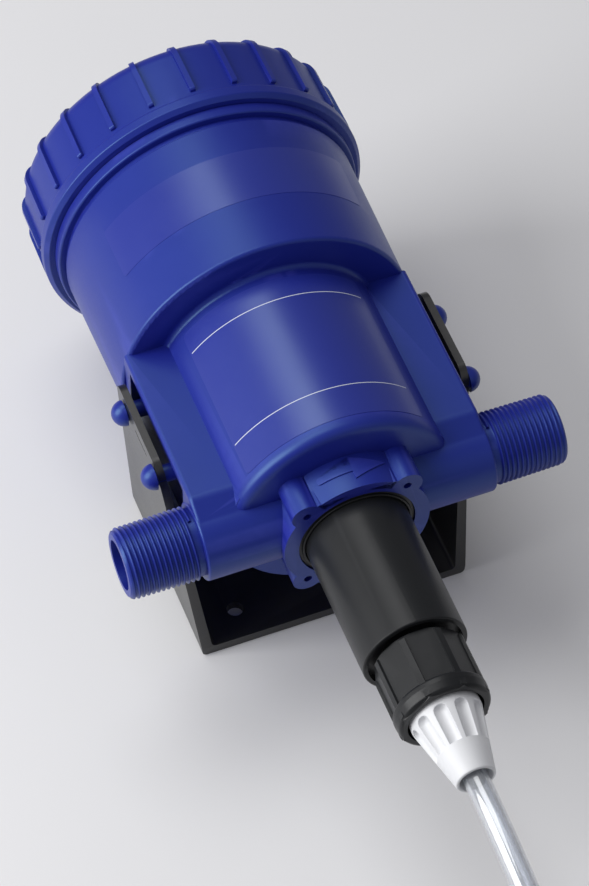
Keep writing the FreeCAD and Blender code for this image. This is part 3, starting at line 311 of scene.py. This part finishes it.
def moulded(name, base, gloss, depth=0.12, grain=2200.0, bump=0.05, wear=0.35, shine=0.5,
            tint=(1, 1, 1)):
    """A moulded plastic with its own grain, gloss and worn edges."""
    found = bpy.data.materials.get(name)
    if found:
        return found
    material, tree, shader = new_material(name)
    skin = use_group(tree, moulded_skin_group(), Colour=(*base, 1), Depth=depth, Gloss=gloss,
                     Grain=grain)
    edges = use_group(tree, edge_wear_group(), Amount=wear)
    pale = tuple(min(1.0, channel * 1.6 + 0.03) for channel in base)
    colour_out = mixed(tree, edges.outputs["Mask"], skin.outputs["Colour"], (*pale, 1))
    tree.links.new(colour_out, shader.inputs["Base Color"])
    tree.links.new(skin.outputs["Roughness"], shader.inputs["Roughness"])
    relief = tree.nodes.new("ShaderNodeBump")
    relief.inputs["Strength"].default_value = bump
    relief.inputs["Distance"].default_value = 0.0002
    tree.links.new(skin.outputs["Height"], relief.inputs["Height"])
    tree.links.new(relief.outputs[0], shader.inputs["Normal"])
    shader.inputs["Specular IOR Level"].default_value = shine
    shader.inputs["Specular Tint"].default_value = (*tint, 1)
    return material


def body_blue():
    return moulded("Cobalt polypropylene", colours().blue, 0.4, shine=0.7, tint=(0.45, 0.8, 1))


def stem_black():
    return moulded("Black stem plastic", colours().black, 0.34, grain=1800.0, wear=0.2, shine=0.26)


def bracket_black():
    return moulded("Matt bracket plastic", colours().bracket, 0.34, grain=1400.0, bump=0.12,
                   wear=0.3, shine=0.8)


def nut_white():
    material = moulded("White acetal nut", colours().white, 0.42, depth=0.05, bump=0.03, wear=0.0)
    shader = material.node_tree.nodes["Principled BSDF"]
    shader.inputs["Subsurface Weight"].default_value = 0.12
    shader.inputs["Subsurface Radius"].default_value = (0.003, 0.003, 0.003)
    return material


def rubber_black():
    return moulded("Seal rubber", (0.012, 0.012, 0.012), 0.6, wear=0.0, bump=0.1)


def inner_white():
    return moulded("Natural acetal", colours().acetal, 0.4, depth=0.06, wear=0.0)


def inner_grey():
    return moulded("Glass-filled grey", colours().grey, 0.55, depth=0.25, wear=0.2)


def ceramic():
    return moulded("Unglazed ceramic", colours().ceramic, 0.8, depth=0.25, bump=0.2, wear=0.0)


def label_film():
    return moulded("Bare label film", colours().film, 0.32, depth=0.06, wear=0.0, shine=0.9,
                   tint=(0.7, 0.9, 1))


def rule_white():
    return moulded("Printed white rule", (0.62, 0.66, 0.74), 0.4, depth=0.05, wear=0.0)


def spring_steel():
    """Drawn wire, with streaks along it."""
    found = bpy.data.materials.get("Drawn spring steel")
    if found:
        return found
    material, tree, shader = new_material("Drawn spring steel")
    streak = noise(tree, 320.0, 3.0, 0.6, stretch=(1, 9, 1))
    ramp = tree.nodes.new("ShaderNodeMapRange")
    ramp.inputs["To Min"].default_value = 0.22
    ramp.inputs["To Max"].default_value = 0.42
    tree.links.new(streak, ramp.inputs["Value"])
    tree.links.new(ramp.outputs[0], shader.inputs["Roughness"])
    shade = mixed(tree, streak, (*colours().steel, 1), (*[c * 0.8 for c in colours().steel], 1))
    tree.links.new(shade, shader.inputs["Base Color"])
    shader.inputs["Metallic"].default_value = 1.0
    return material


def hose_clear():
    """Clear soft PVC, a little milky."""
    found = bpy.data.materials.get("Clear hose")
    if found:
        return found
    material, tree, shader = new_material("Clear hose")
    haze = noise(tree, 180.0, 3.0, 0.5)
    shade = mixed(tree, haze, (*colours().hose, 1), (*[c * 0.94 for c in colours().hose], 1))
    tree.links.new(shade, shader.inputs["Base Color"])
    ramp = tree.nodes.new("ShaderNodeMapRange")
    ramp.inputs["To Min"].default_value = 0.04
    ramp.inputs["To Max"].default_value = 0.09
    tree.links.new(haze, ramp.inputs["Value"])
    tree.links.new(ramp.outputs[0], shader.inputs["Roughness"])
    shader.inputs["IOR"].default_value = 1.5
    shader.inputs["Transmission Weight"].default_value = 0.84
    shader.inputs["Coat Weight"].default_value = 1.0
    shader.inputs["Coat IOR"].default_value = 1.7
    return material


# ---- mesh tools ----------------------------------------------------------------------


def add_mesh(name, points, faces, material, body, *nodes, slot=None):
    """Makes a piece from points in the pump's own frame and lets it ride on its body."""
    mesh = bpy.data.meshes.new(name)
    mesh.from_pydata([tuple(Vector(p) + ORIGIN) for p in points], [], faces)
    mesh.validate()
    return finish_piece(new_object(name, mesh), material, body, *nodes, slot=slot)


def finish_piece(obj, material, body, *nodes, slot=None):
    """Gives a piece its material, its normals and its body, and hides the nodes it stands for."""
    obj.data.materials.clear()
    obj.data.materials.append(material)
    tidy_normals(obj)
    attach(obj, body)
    if nodes:
        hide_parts(*nodes)
    return obj


def tidy_normals(obj):
    """Outward normals, smooth faces, and sharp edges where faces meet steeply."""
    work = bmesh.new()
    work.from_mesh(obj.data)
    bmesh.ops.remove_doubles(work, verts=work.verts, dist=1e-7)
    bmesh.ops.recalc_face_normals(work, faces=work.faces)
    for face in work.faces:
        face.smooth = True
    for edge in work.edges:
        edge.smooth = len(edge.link_faces) == 2 and edge.calc_face_angle(0) < STEEP
    work.to_mesh(obj.data)
    work.free()


def rounded(corners, steps=6):
    """An outline's points, with a smooth turn where a corner has a third number, its radius."""
    points = []
    for i, corner in enumerate(corners):
        here = Vector(corner[:2])
        if len(corner) < 3:
            points.append(here)
            continue
        inwards = (here - Vector(corners[i - 1][:2])).normalized()
        outwards = (Vector(corners[(i + 1) % len(corners)][:2]) - here).normalized()
        reach = corner[2] * math.tan(inwards.angle(outwards) / 2)
        start, end = here - inwards * reach, here + outwards * reach
        for step in range(steps + 1):
            share = step / steps
            points.append(start.lerp(here, share).lerp(here.lerp(end, share), share))
    return points


def turned_mesh(name, corners, steps=LATHE_STEPS):
    """A mesh turned from a closed outline of (radius, height) round the Y axis."""
    work = bmesh.new()
    points = rounded(corners)
    verts = [work.verts.new((radius, height, 0)) for radius, height in points]
    edges = [work.edges.new(pair) for pair in zip(verts, verts[1:] + verts[:1])]
    bmesh.ops.spin(work, geom=verts + edges, cent=(0, 0, 0), axis=(0, 1, 0),
                   angle=2 * math.pi, steps=steps, use_merge=True)
    bmesh.ops.remove_doubles(work, verts=work.verts, dist=1e-6)
    bmesh.ops.dissolve_degenerate(work, edges=work.edges, dist=1e-7)
    bmesh.ops.recalc_face_normals(work, faces=work.faces)
    mesh = bpy.data.meshes.new(name)
    work.to_mesh(mesh)
    work.free()
    return mesh


def front_part(mesh, out):
    """Keeps what lies in front of a height of a closed mesh, and closes the cut."""
    work = bmesh.new()
    work.from_mesh(mesh)
    found = bmesh.ops.bisect_plane(work, geom=work.verts[:] + work.edges[:] + work.faces[:],
                                   plane_co=(0, 0, out), plane_no=(0, 0, 1), clear_inner=True)
    rim = [item for item in found["geom_cut"] if isinstance(item, bmesh.types.BMEdge)]
    bmesh.ops.edgeloop_fill(work, edges=rim)
    bmesh.ops.recalc_face_normals(work, faces=work.faces)
    work.to_mesh(mesh)
    work.free()
    return mesh


def box_mesh(name, low, high):
    """A plain box between its lowest and its highest corner."""
    work = bmesh.new()
    bmesh.ops.create_cube(work, size=1)
    mesh = bpy.data.meshes.new(name)
    work.to_mesh(mesh)
    work.free()
    low, high = Vector(low), Vector(high)
    mesh.transform(Matrix.Translation((low + high) / 2) @ Matrix.Diagonal((*(high - low), 1)))
    return mesh


def at_pump(mesh):
    """Moves a mesh from the pump's own frame to its place."""
    mesh.transform(Matrix.Translation(ORIGIN))
    return mesh


def settle(obj):
    """Applies an object's modifiers to its mesh."""
    bpy.context.view_layer.update()
    graph = bpy.context.evaluated_depsgraph_get()
    made = bpy.data.meshes.new_from_object(obj.evaluated_get(graph))
    spent = obj.data
    obj.modifiers.clear()
    obj.data = made
    bpy.data.meshes.remove(spent)


def cut_away(obj, cutters):
    """Cuts each cutter out of an object, and deletes it."""
    for cutter in cutters:
        cut = obj.modifiers.new("Cut", "BOOLEAN")
        cut.operation = "DIFFERENCE"
        cut.object = cutter
    settle(obj)
    for cutter in cutters:
        bpy.data.meshes.remove(cutter.data)


def softened(obj, bevel):
    """Rounds an object's edges and evens the normals of its flat faces."""
    softener = obj.modifiers.new("Rounding", "BEVEL")
    softener.width = bevel
    softener.segments = 2
    softener.limit_method = "ANGLE"
    softener.angle_limit = EDGE
    softener.miter_outer = "MITER_ARC"
    evener = obj.modifiers.new("Flat faces", "WEIGHTED_NORMAL")
    evener.weight = 80
    settle(obj)


def new_object(name, mesh, material=None):
    """An object in the scene for a mesh."""
    if material:
        mesh.materials.clear()
        mesh.materials.append(material)
    obj = bpy.data.objects.new(name, mesh)
    bpy.context.scene.collection.objects.link(obj)
    return obj


def dressed(node, name, material, body, bevel, cutters=()):
    """A copy of a node's solid, cut if need be, with merged points and rounded edges."""
    obj = new_object(name, NODES[node].data.copy(), material)
    if cutters:
        cut_away(obj, cutters)
    work = bmesh.new()
    work.from_mesh(obj.data)
    bmesh.ops.remove_doubles(work, verts=work.verts, dist=WELD)
    bmesh.ops.dissolve_limit(work, angle_limit=FLAT, verts=work.verts, edges=work.edges)
    for face in work.faces:
        face.smooth = True
    work.to_mesh(obj.data)
    work.free()
    softened(obj, bevel)
    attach(obj, body)
    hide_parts(node)
    return obj


def even_dome(obj, steepest=20):
    """Gives the end of a turned piece the normals of a true turned surface."""
    mesh = obj.data
    turned_normals = [Vector(corner.vector) for corner in mesh.corner_normals]
    for face in mesh.polygons:
        if face.normal.y < math.cos(math.radians(steepest)):
            continue
        slope = math.acos(min(1, face.normal.y))
        for loop in face.loop_indices:
            out = mesh.vertices[mesh.loops[loop].vertex_index].co - ORIGIN
            out.y = 0
            facing = Vector((face.normal.x, 0, face.normal.z))
            if out.length > 1e-4 and out.dot(facing) > 0.97 * out.length * facing.length:
                turned_normals[loop] = out.normalized() * math.sin(slope) + Vector(
                    (0, math.cos(slope), 0))
    mesh.normals_split_custom_set(turned_normals)


def paint(node, material):
    """Gives a carried-over node its own material."""
    obj = NODES[node]
    obj.data.materials.clear()
    obj.data.materials.append(material)


# ---- ports, label and body -----------------------------------------------------------


def swept_thread(name, side):
    """A male thread: one profile swept along a helix on the port's plain end."""
    pitch = sizes().thread_pitch
    start, end = THREAD_START, THREAD_END
    turns = (end - start) / pitch
    profile = [(0, 0), (0.16, 0), (0.24, 0.08), (0.42, 0.86), (0.5, 1), (0.64, 1), (0.72, 0.86),
               (0.9, 0.08)]
    steps = 72
    points = []
    faces = []
    width = len(profile)
    total = int(turns * steps)
    for step in range(total + 1):
        angle = 2 * math.pi * step / steps
        for offset, rise in profile:
            along = min(start + pitch * (step / steps + offset), end)
            share = (along - start) / (end - start)
            fade = min(1, (along - start) / (0.5 * pitch)) * min(1, (end - along) / (0.7 * pitch))
            crest = sizes().thread_depth - sizes().thread_taper * share
            radius = THREAD_ROOT + 0.03 * MM + crest * rise * fade
            points.append((side * along, radius * math.sin(angle), radius * math.cos(angle)))
    for step in range(total):
        here, ahead = step * width, (step + 1) * width
        for i in range(width - 1):
            faces.append([here + i, here + i + 1, ahead + i + 1, ahead + i])
        next_turn = here + steps * width
        if next_turn < len(points):
            last = min(next_turn + width, len(points) - width)
            faces.append([here + width - 1, next_turn, last, ahead + width - 1])
    faces = [list(dict.fromkeys(face)) for face in faces]
    return add_mesh(name, points, [f for f in faces if len(f) > 2], body_blue(), "pump",
                    slot="body_blue")


def curved_patch(name, material, left, right, low, high, radii, thick, corner=0.0, sunk=0.1 * MM,
                 columns=48, rows=24):
    """A curved plate round the front, from left to right in degrees, from low to high.

    The radii are those of the surface at its lower and upper edge. It stands out of that
    surface by its thickness and reaches behind it by what is sunk.
    """
    points = []
    faces = []

    def rounding(height):
        near = min(height - low, high - height)
        if near >= corner:
            return 0.0
        reach = corner - math.sqrt(max(0, corner ** 2 - (corner - near) ** 2))
        return math.degrees(reach / radii[0])

    shares = [0.5 - 0.5 * math.cos(math.pi * i / rows) for i in range(rows + 1)]
    for proud in (thick, -sunk):
        for share in shares:
            height = low + (high - low) * share
            radius = radii[0] + (radii[1] - radii[0]) * share + proud
            inset = rounding(height)
            for column in range(columns + 1):
                angle = math.radians(left + inset + (right - left - 2 * inset) * column / columns)
                points.append((radius * math.sin(angle), height, radius * math.cos(angle)))
    wide = columns + 1
    layer = wide * (rows + 1)
    for row in range(rows):
        for column in range(columns):
            a = row * wide + column
            faces.append([a, a + 1, a + 1 + wide, a + wide])
            faces.append([layer + a + wide, layer + a + 1 + wide, layer + a + 1, layer + a])
    rim = list(range(wide))
    rim += [row * wide + columns for row in range(1, rows + 1)]
    rim += [rows * wide + column for column in range(columns - 1, -1, -1)]
    rim += [row * wide for row in range(rows - 1, 0, -1)]
    for a, b in zip(rim, rim[1:] + rim[:1]):
        faces.append([a, b, layer + b, layer + a])
    return add_mesh(name, points, faces, material, "pump", slot="body_blue")


def rim_cutters():
    """What is cut from the round middle's foot, to make room for its rounded rim."""
    block_front, collar_top, collar_face = 18.1 * MM, 24.6 * MM, 23.15 * MM
    lobe_gap = 14.2 * MM
    inner, outer, below = CORE_RADIUS - 5.5 * MM, CORE_RADIUS + 2 * MM, -12 * MM
    ring = turned_mesh("rim_ring", [
        (inner, below), (outer, below), (outer, RIM_TOP), (inner, RIM_TOP)])
    slab = box_mesh("rim_slab", (-outer, below, collar_top),
                    (outer, UNDERSIDE + 0.5 * MM, outer))
    flat = box_mesh("collar_flat", (-lobe_gap, COLLAR_LOW - 1 * MM, collar_face),
                    (lobe_gap, UNDERSIDE, 26 * MM))
    return [new_object("rim_ring", at_pump(front_part(ring, block_front))),
            new_object("rim_slab", at_pump(slab)), new_object("collar_flat", at_pump(flat))]


def body_rim():
    """The round middle's foot: a flat underside with a softly rounded rim."""
    middle, inner, floor = 4 * MM, CORE_RADIUS - 6 * MM, UNDERSIDE + 2.6 * MM
    mesh = turned_mesh("body_rim", [
        (middle, UNDERSIDE), (CORE_RADIUS, UNDERSIDE, sizes().rim_round), (CORE_RADIUS, RIM_TOP),
        (inner, RIM_TOP), (inner, floor), (middle, floor)])
    rim = new_object("body_rim", at_pump(front_part(mesh, PORT_RADIUS - 1.5 * MM)))
    finish_piece(rim, body_blue(), "pump", slot="body_blue")


def collar_radius(height):
    """Radius of the collar's round front, which leans in a little towards its lower end."""
    share = (height - COLLAR_LOW) / (UNDERSIDE - COLLAR_LOW)
    return (26.6 + 0.8 * share) * MM


def collar_front():
    """The collar's round front between its screw lobes."""
    top = UNDERSIDE + 0.3 * MM
    curved_patch("collar_front", body_blue(), -32.5, 32.5, COLLAR_LOW, top,
                 (collar_radius(COLLAR_LOW), collar_radius(top)), 0, sunk=3.5 * MM)


def flow_arrow():
    """The raised arrow, wrapped on the collar's front, that points along the flow."""
    tail, neck, tip = -12.1 * MM, 0.8 * MM, 13.4 * MM
    middle, shaft, head = -8.9 * MM, 1.3 * MM, 4.4 * MM
    outline = rounded([
        (tail, middle - shaft, 1.2 * MM), (neck, middle - shaft), (neck, middle - head),
        (tip, middle), (neck, middle + head), (neck, middle + shaft),
        (tail, middle + shaft, 1.2 * MM)])
    work = bmesh.new()
    face = work.faces.new([work.verts.new((x, y, -0.4 * MM)) for x, y in outline])
    bmesh.ops.triangulate(work, faces=[face])
    raised = bmesh.ops.extrude_face_region(work, geom=work.faces[:])["geom"]
    bmesh.ops.translate(work, vec=(0, 0, 0.9 * MM),
                        verts=[item for item in raised if isinstance(item, bmesh.types.BMVert)])
    cuts = 26
    for step in range(1, cuts):
        bmesh.ops.bisect_plane(work, geom=work.verts[:] + work.edges[:] + work.faces[:],
                               plane_co=(tail + (tip - tail) * step / cuts, 0, 0),
                               plane_no=(1, 0, 0))
    for vert in work.verts:
        across, height, proud = vert.co
        radius = collar_radius(height)
        angle = across / radius
        vert.co = ((radius + proud) * math.sin(angle), height, (radius + proud) * math.cos(angle))
    mesh = bpy.data.meshes.new("flow_arrow")
    work.to_mesh(mesh)
    work.free()
    finish_piece(new_object("flow_arrow", at_pump(mesh)), body_blue(), "pump", slot="body_blue")


class DressBody(bpy.types.Operator):
    """Round the body's moulded edges and its round middle's rim"""

    bl_idname = "pump.dress_body"
    bl_label = "Pump body"

    def execute(self, context):
        dressed("pump_body", "body_shell", body_blue(), "pump",
                bevel=sizes().edge_round, cutters=rim_cutters())
        body_rim()
        collar_front()
        flow_arrow()
        return {"FINISHED"}


class CutThreads(bpy.types.Operator):
    """Sweep the male thread on each port"""

    bl_idname = "pump.cut_threads"
    bl_label = "Port threads"

    def execute(self, context):
        swept_thread("inlet_port_thread", -1)
        swept_thread("outlet_port_thread", 1)
        return {"FINISHED"}


class LayLabel(bpy.types.Operator):
    """Lay the bare films on the body and on the motor cylinder, and the printed rules"""

    bl_idname = "pump.lay_label"
    bl_label = "Label film"

    def execute(self, context):
        core = (CORE_RADIUS, CORE_RADIUS)
        thick = sizes().label_thick
        curved_patch("label_film", label_film(), *LABEL_SPAN, RIM_TOP, LABEL_TOP, core, thick,
                     corner=2 * MM)
        curved_patch("name_film", label_film(), *NAME_SPAN, *NAME_HEIGHTS, MOTOR_RADII, 0.1 * MM,
                     corner=1.5 * MM)
        for name, height in RULE_HEIGHTS.items():
            curved_patch(name, rule_white(), *RULE_SPAN, height, height + RULE_WIDTH, core,
                         thick + 0.02 * MM, rows=2)
        return {"FINISHED"}


class DressBracket(bpy.types.Operator):
    """Round the wall bracket's edges"""

    bl_idname = "pump.dress_bracket"
    bl_label = "Wall bracket"

    def execute(self, context):
        dressed("wall_bracket", "bracket_shell", bracket_black(), "pump",
                bevel=0.5 * MM)
        return {"FINISHED"}


class DressBell(bpy.types.Operator):
    """Model the ribbed bell and its button"""

    bl_idname = "pump.dress_bell"
    bl_label = "Bell and button"

    def execute(self, context):
        even_dome(dressed("bell_housing", "bell_shell", body_blue(), "bell",
                          bevel=0.5 * MM))
        dressed("bleed_button", "button_cap", stem_black(), "bleed",
                bevel=0.3 * MM)
        return {"FINISHED"}


def flute_cutter(count):
    """Round-ended bars that lean inwards, evenly round the cone."""
    radius, run = sizes().flute_radius, sizes().flute_length
    bar = turned_mesh("flute", [(0, radius), (radius, radius, radius), (radius, -run), (0, -run)],
                      steps=32)
    lean = Matrix.Rotation(-sizes().flute_lean, 4, "Z")
    spot = Matrix.Translation((sizes().flute_place, -sizes().flute_top, 0))
    work = bmesh.new()
    for step in range(count):
        turn = Matrix.Rotation(2 * math.pi * step / count, 4, "Y")
        one = bar.copy()
        one.transform(turn @ spot @ lean)
        work.from_mesh(one)
        bpy.data.meshes.remove(one)
    bpy.data.meshes.remove(bar)
    mesh = bpy.data.meshes.new("flutes")
    work.to_mesh(mesh)
    work.free()
    return new_object("flutes", at_pump(mesh))


def hose_cone():
    """The white cone: fluted down to a smooth ring at its small end."""
    low, high = node_span("hose_nut")
    big, tip, throat = (high.x - low.x) / 2, 7.1 * MM, 4.9 * MM
    socket, seat = big - 5 * MM, high.y - 13 * MM
    mesh = turned_mesh("hose_cone", [
        (socket, high.y), (big, high.y, 0.8 * MM), (big, high.y - 3.2 * MM, 1 * MM),
        (tip, low.y, 0.8 * MM), (throat + 1.2 * MM, low.y, 0.4 * MM), (throat, low.y + 3 * MM),
        (throat, seat), (socket, seat)])
    cone = new_object("hose_cone", at_pump(mesh), nut_white())
    cut_away(cone, [flute_cutter(10)])
    for face in cone.data.polygons:
        face.use_smooth = True
    softened(cone, 0.5 * MM)
    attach(cone, "hose_nut")
    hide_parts("hose_nut")


class DressStem(bpy.types.Operator):
    """Model the gland ring, the injection cylinder, its nut and the hose nut"""

    bl_idname = "pump.dress_stem"
    bl_label = "Injection stem"

    def execute(self, context):
        dressed("gland_ring", "gland_collar", stem_black(), "pump", bevel=0.25 * MM)
        dressed("injection_cylinder", "stem_tube", stem_black(), "pump",
                bevel=0.35 * MM)
        dressed("ring_nut", "clamp_nut", stem_black(), "ring_nut", bevel=0.4 * MM)
        hose_cone()
        dressed("hose_tail", "tail_piece", stem_black(), "pump", bevel=0.25 * MM)
        return {"FINISHED"}


class PaintInside(bpy.types.Operator):
    """Give the motor's and the valves' pieces their finishes"""

    bl_idname = "pump.paint_inside"
    bl_label = "Inner pieces"

    def execute(self, context):
        finishes = {
            rubber_black: ("bell_seal", "bleed_seal", "piston_seal", "sleeve_seal", "upper_valves",
                           "lower_valves", "plunger_seal", "cylinder_seal"),
            inner_white: ("motor_piston", "plunger_rod", "suction_valve"),
            inner_grey: ("valve_carrier", "toggle_lever_left", "toggle_lever_right"),
            spring_steel: ("trip_rod", "suction_spring"),
            ceramic: ("strainer_weight",),
            stem_black: ("strainer_body",),
        }
        for finish, nodes in finishes.items():
            for node in nodes:
                paint(node, finish())
        return {"FINISHED"}


def squeezed_spring(node, body):
    """A plain copy of a spring's wire, with its finish, riding on its body."""
    spring = new_object(node + "_wire", NODES[node].data.copy())
    finish_piece(spring, spring_steel(), body, node, slot="spring_steel")
    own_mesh(spring)


class FitSprings(bpy.types.Operator):
    """Fit the two springs that their joints squeeze, as plain copies of their wires"""

    bl_idname = "pump.fit_springs"
    bl_label = "Squeezed springs"

    def execute(self, context):
        squeezed_spring("bleed_spring", "bell")
        squeezed_spring("trip_spring", "piston")
        return {"FINISHED"}


# ---- suction hose --------------------------------------------------------------------


def coil_points():
    """The coil: two flat turns inwards, a rise, and a second layer that leaves on the left."""
    outer, inner = 56, 38
    floor, layer = 4.5, 8.8
    per_turn = 16
    points = []
    for step in range(2, int(3.5 * per_turn)):
        turn = step / per_turn
        if turn <= 2:
            radius = outer - (outer - inner) / 2 * turn
            height = floor
        else:
            rise = min(1, (turn - 2) / 0.35)
            radius = inner + 6 * (turn - 2)
            height = floor + layer * rise * rise * (3 - 2 * rise)
        angle = -2 * math.pi * turn
        points.append((COIL_MIDDLE[0] + radius * math.cos(angle),
                       COIL_MIDDLE[1] + radius * math.sin(angle), height))
    return points


def hose_line():
    """Points along the hose's middle, read from the smooth line through its route."""
    curve = bpy.data.curves.new("hose_line", "CURVE")
    curve.dimensions = "3D"
    curve.resolution_u = 16
    spline = curve.splines.new("NURBS")
    route = HOSE_RUN + coil_points() + HOSE_OUT
    spline.points.add(len(route) - 1)
    for point, place in zip(spline.points, route):
        point.co = (place[0] * MM, place[1] * MM, place[2] * MM, 1)
    spline.order_u = 3
    spline.use_endpoint_u = True
    holder = bpy.data.objects.new("hose_line", curve)
    mesh = bpy.data.meshes.new_from_object(holder)
    line = [vertex.co.copy() for vertex in mesh.vertices]
    bpy.data.meshes.remove(mesh)
    bpy.data.objects.remove(holder)
    bpy.data.curves.remove(curve)
    return line


def tube_mesh(line, outer, inner, around=40):
    """A hose's wall along a line: outer skin, bore and cut ends."""
    normal = Vector((1, 0, 0))
    points = []
    faces = []
    for index, here in enumerate(line):
        ahead = line[min(index + 1, len(line) - 1)]
        behind = line[max(index - 1, 0)]
        along = (ahead - behind).normalized()
        normal = (normal - along * normal.dot(along)).normalized()
        other = along.cross(normal)
        for radius in (outer, inner):
            for step in range(around):
                angle = 2 * math.pi * step / around
                points.append(here + radius * (math.cos(angle) * normal + math.sin(angle) * other))
    ring = 2 * around
    for index in range(len(line) - 1):
        base = index * ring
        for step in range(around):
            ahead = (step + 1) % around
            faces.append([base + step, base + ahead, base + ring + ahead, base + ring + step])
            low = base + around
            faces.append([low + ahead, low + step, low + ring + step, low + ring + ahead])
    for base in (0, (len(line) - 1) * ring):
        for step in range(around):
            ahead = (step + 1) % around
            faces.append([base + step, base + ahead, base + around + ahead, base + around + step])
    return points, faces


class LayHose(bpy.types.Operator):
    """Lay the clear suction hose and its coil, out to the strainer on its end"""

    bl_idname = "pump.lay_hose"
    bl_label = "Suction hose"

    def execute(self, context):
        line = hose_line()
        points, faces = tube_mesh(line, HOSE_RADIUS, HOSE_RADIUS - sizes().hose_wall)
        mesh = bpy.data.meshes.new("clear_hose")
        mesh.from_pydata([tuple(p) for p in points], [], faces)
        hose = new_object("clear_hose", mesh)
        finish_piece(hose, hose_clear(), "pump", "suction_hose", "hose_coil", "hose_run_out",
                     slot="hose_clear")
        return {"FINISHED"}


# ---- stage ---------------------------------------------------------------------------


class StageView(bpy.types.PropertyGroup):
    """Where the camera stands and how far away it is"""

    azimuth: FloatProperty(name="Azimuth", description="Camera's turn about the vertical",
                           default=math.radians(-20.3), subtype="ANGLE", unit="ROTATION")
    elevation: FloatProperty(name="Elevation", description="Camera's height angle",
                             default=math.radians(53.4), subtype="ANGLE", unit="ROTATION")
    roll: FloatProperty(name="Roll", description="Camera's turn about its own line of sight",
                        default=math.radians(-0.8), subtype="ANGLE", unit="ROTATION")
    distance: length("Distance", "From the camera to the point it aims at", 1.445)
    lens: FloatProperty(name="Lens", description="Focal length in millimetres", default=167.12)
    aim: FloatVectorProperty(name="Aim", description="Point that the camera looks at",
                             default=(-0.0065, -0.0154, 0.0795), subtype="TRANSLATION",
                             unit="LENGTH")


def soft_box(name, place, aim, size, energy):
    """A rectangular lamp at a place, turned to a point."""
    lamp = bpy.data.lights.new(name, "AREA")
    lamp.shape = "RECTANGLE"
    lamp.size, lamp.size_y = size
    lamp.energy = energy
    obj = bpy.data.objects.new(name, lamp)
    obj.location = place
    obj.rotation_euler = (Vector(aim) - Vector(place)).to_track_quat("-Z", "Y").to_euler()
    bpy.context.scene.collection.objects.link(obj)
    return obj


def floor_material():
    """Pale grey, with hardly any cloudiness."""
    material, tree, shader = new_material("Plain pale floor")
    shade = noise(tree, 6.0, 3.0, 0.5)
    base = colours().floor
    tree.links.new(mixed(tree, shade, (*base, 1), (*[c * 0.97 for c in base], 1)),
                   shader.inputs["Base Color"])
    shader.inputs["Roughness"].default_value = 0.55
    return material


class SetStage(bpy.types.Operator):
    """Set up the floor, the soft boxes and the camera"""

    bl_idname = "pump.set_stage"
    bl_label = "Stage"

    def execute(self, context):
        scene = context.scene
        scene.view_settings.view_transform = "Standard"
        mesh = bpy.data.meshes.new("floor")
        half = 4.0
        mesh.from_pydata([(-half, -half, 0), (half, -half, 0), (half, half, 0), (-half, half, 0)],
                         [], [(0, 1, 2, 3)])
        floor = new_object("floor", mesh, floor_material())
        soft_box("key_box", (-1.15, 0.1, 0.75), (0, -0.02, 0.08), (0.7, 1.3), 18)
        soft_box("top_box", (-0.25, 0.55, 1.5), (0, 0, 0.08), (1.0, 0.8), 8)
        soft_box("fill_box", (0.4, -1.1, 1.0), (0, -0.05, 0.05), (1.2, 1.2), 0.8)
        scene.world = bpy.data.worlds.new("studio")
        scene.world.use_nodes = True
        sky = scene.world.node_tree.nodes["Background"]
        sky.inputs["Color"].default_value = (0.96, 0.95, 1, 1)
        sky.inputs["Strength"].default_value = 0.25
        self.aim_camera(scene)
        return {"FINISHED"}

    def aim_camera(self, scene):
        """Stands the camera where the view's angles and distance put it."""
        view = scene.pump_view
        turn, tilt = view.azimuth, view.elevation
        back = Vector((math.sin(turn) * math.cos(tilt), -math.cos(turn) * math.cos(tilt),
                       math.sin(tilt)))
        right = Vector((math.cos(turn), math.sin(turn), 0))
        up = back.cross(right)
        across = math.cos(view.roll) * right + math.sin(view.roll) * up
        upright = back.cross(across)
        lens = bpy.data.cameras.new("camera")
        lens.lens = view.lens
        lens.sensor_width = 36
        lens.sensor_fit = "AUTO"
        lens.clip_end = 20
        camera = bpy.data.objects.new("camera", lens)
        pose = Matrix((across, upright, back)).transposed().to_4x4()
        pose.translation = Vector(view.aim) + back * view.distance
        camera.matrix_world = pose
        scene.collection.objects.link(camera)
        scene.camera = camera


# ---- sidebar -------------------------------------------------------------------------

OPERATORS = (SetStage, LayHose, DressBracket, DressBody, CutThreads, LayLabel, DressBell,
             DressStem, PaintInside, FitSprings)


class PumpPanel(bpy.types.Panel):
    """Builds the pump's pieces and lists the sizes they use"""

    bl_idname = "VIEW3D_PT_dosing_pump"
    bl_label = "Dosing Pump"
    bl_space_type = "VIEW_3D"
    bl_region_type = "UI"
    bl_category = "Dosing Pump"

    def draw(self, context):
        for operator in OPERATORS:
            self.layout.operator(operator.bl_idname)
        for group in (sizes(), colours(), context.scene.pump_view):
            box = self.layout.box()
            for name in group.bl_rna.properties.keys():
                if name not in ("rna_type", "name"):
                    box.prop(group, name)


CLASSES = (PumpSizes, PumpColours, StageView, *OPERATORS, PumpPanel)


def register():
    for item in CLASSES:
        bpy.utils.register_class(item)
    bpy.types.Scene.pump_sizes = PointerProperty(type=PumpSizes)
    bpy.types.Scene.pump_colours = PointerProperty(type=PumpColours)
    bpy.types.Scene.pump_view = PointerProperty(type=StageView)


def unregister():
    del bpy.types.Scene.pump_sizes
    del bpy.types.Scene.pump_colours
    del bpy.types.Scene.pump_view
    for item in reversed(CLASSES):
        bpy.utils.unregister_class(item)


def main():
    register()
    for operator in OPERATORS:
        group, name = operator.bl_idname.split(".")
        getattr(getattr(bpy.ops, group), name)()


if __name__ == "__main__":
    main()
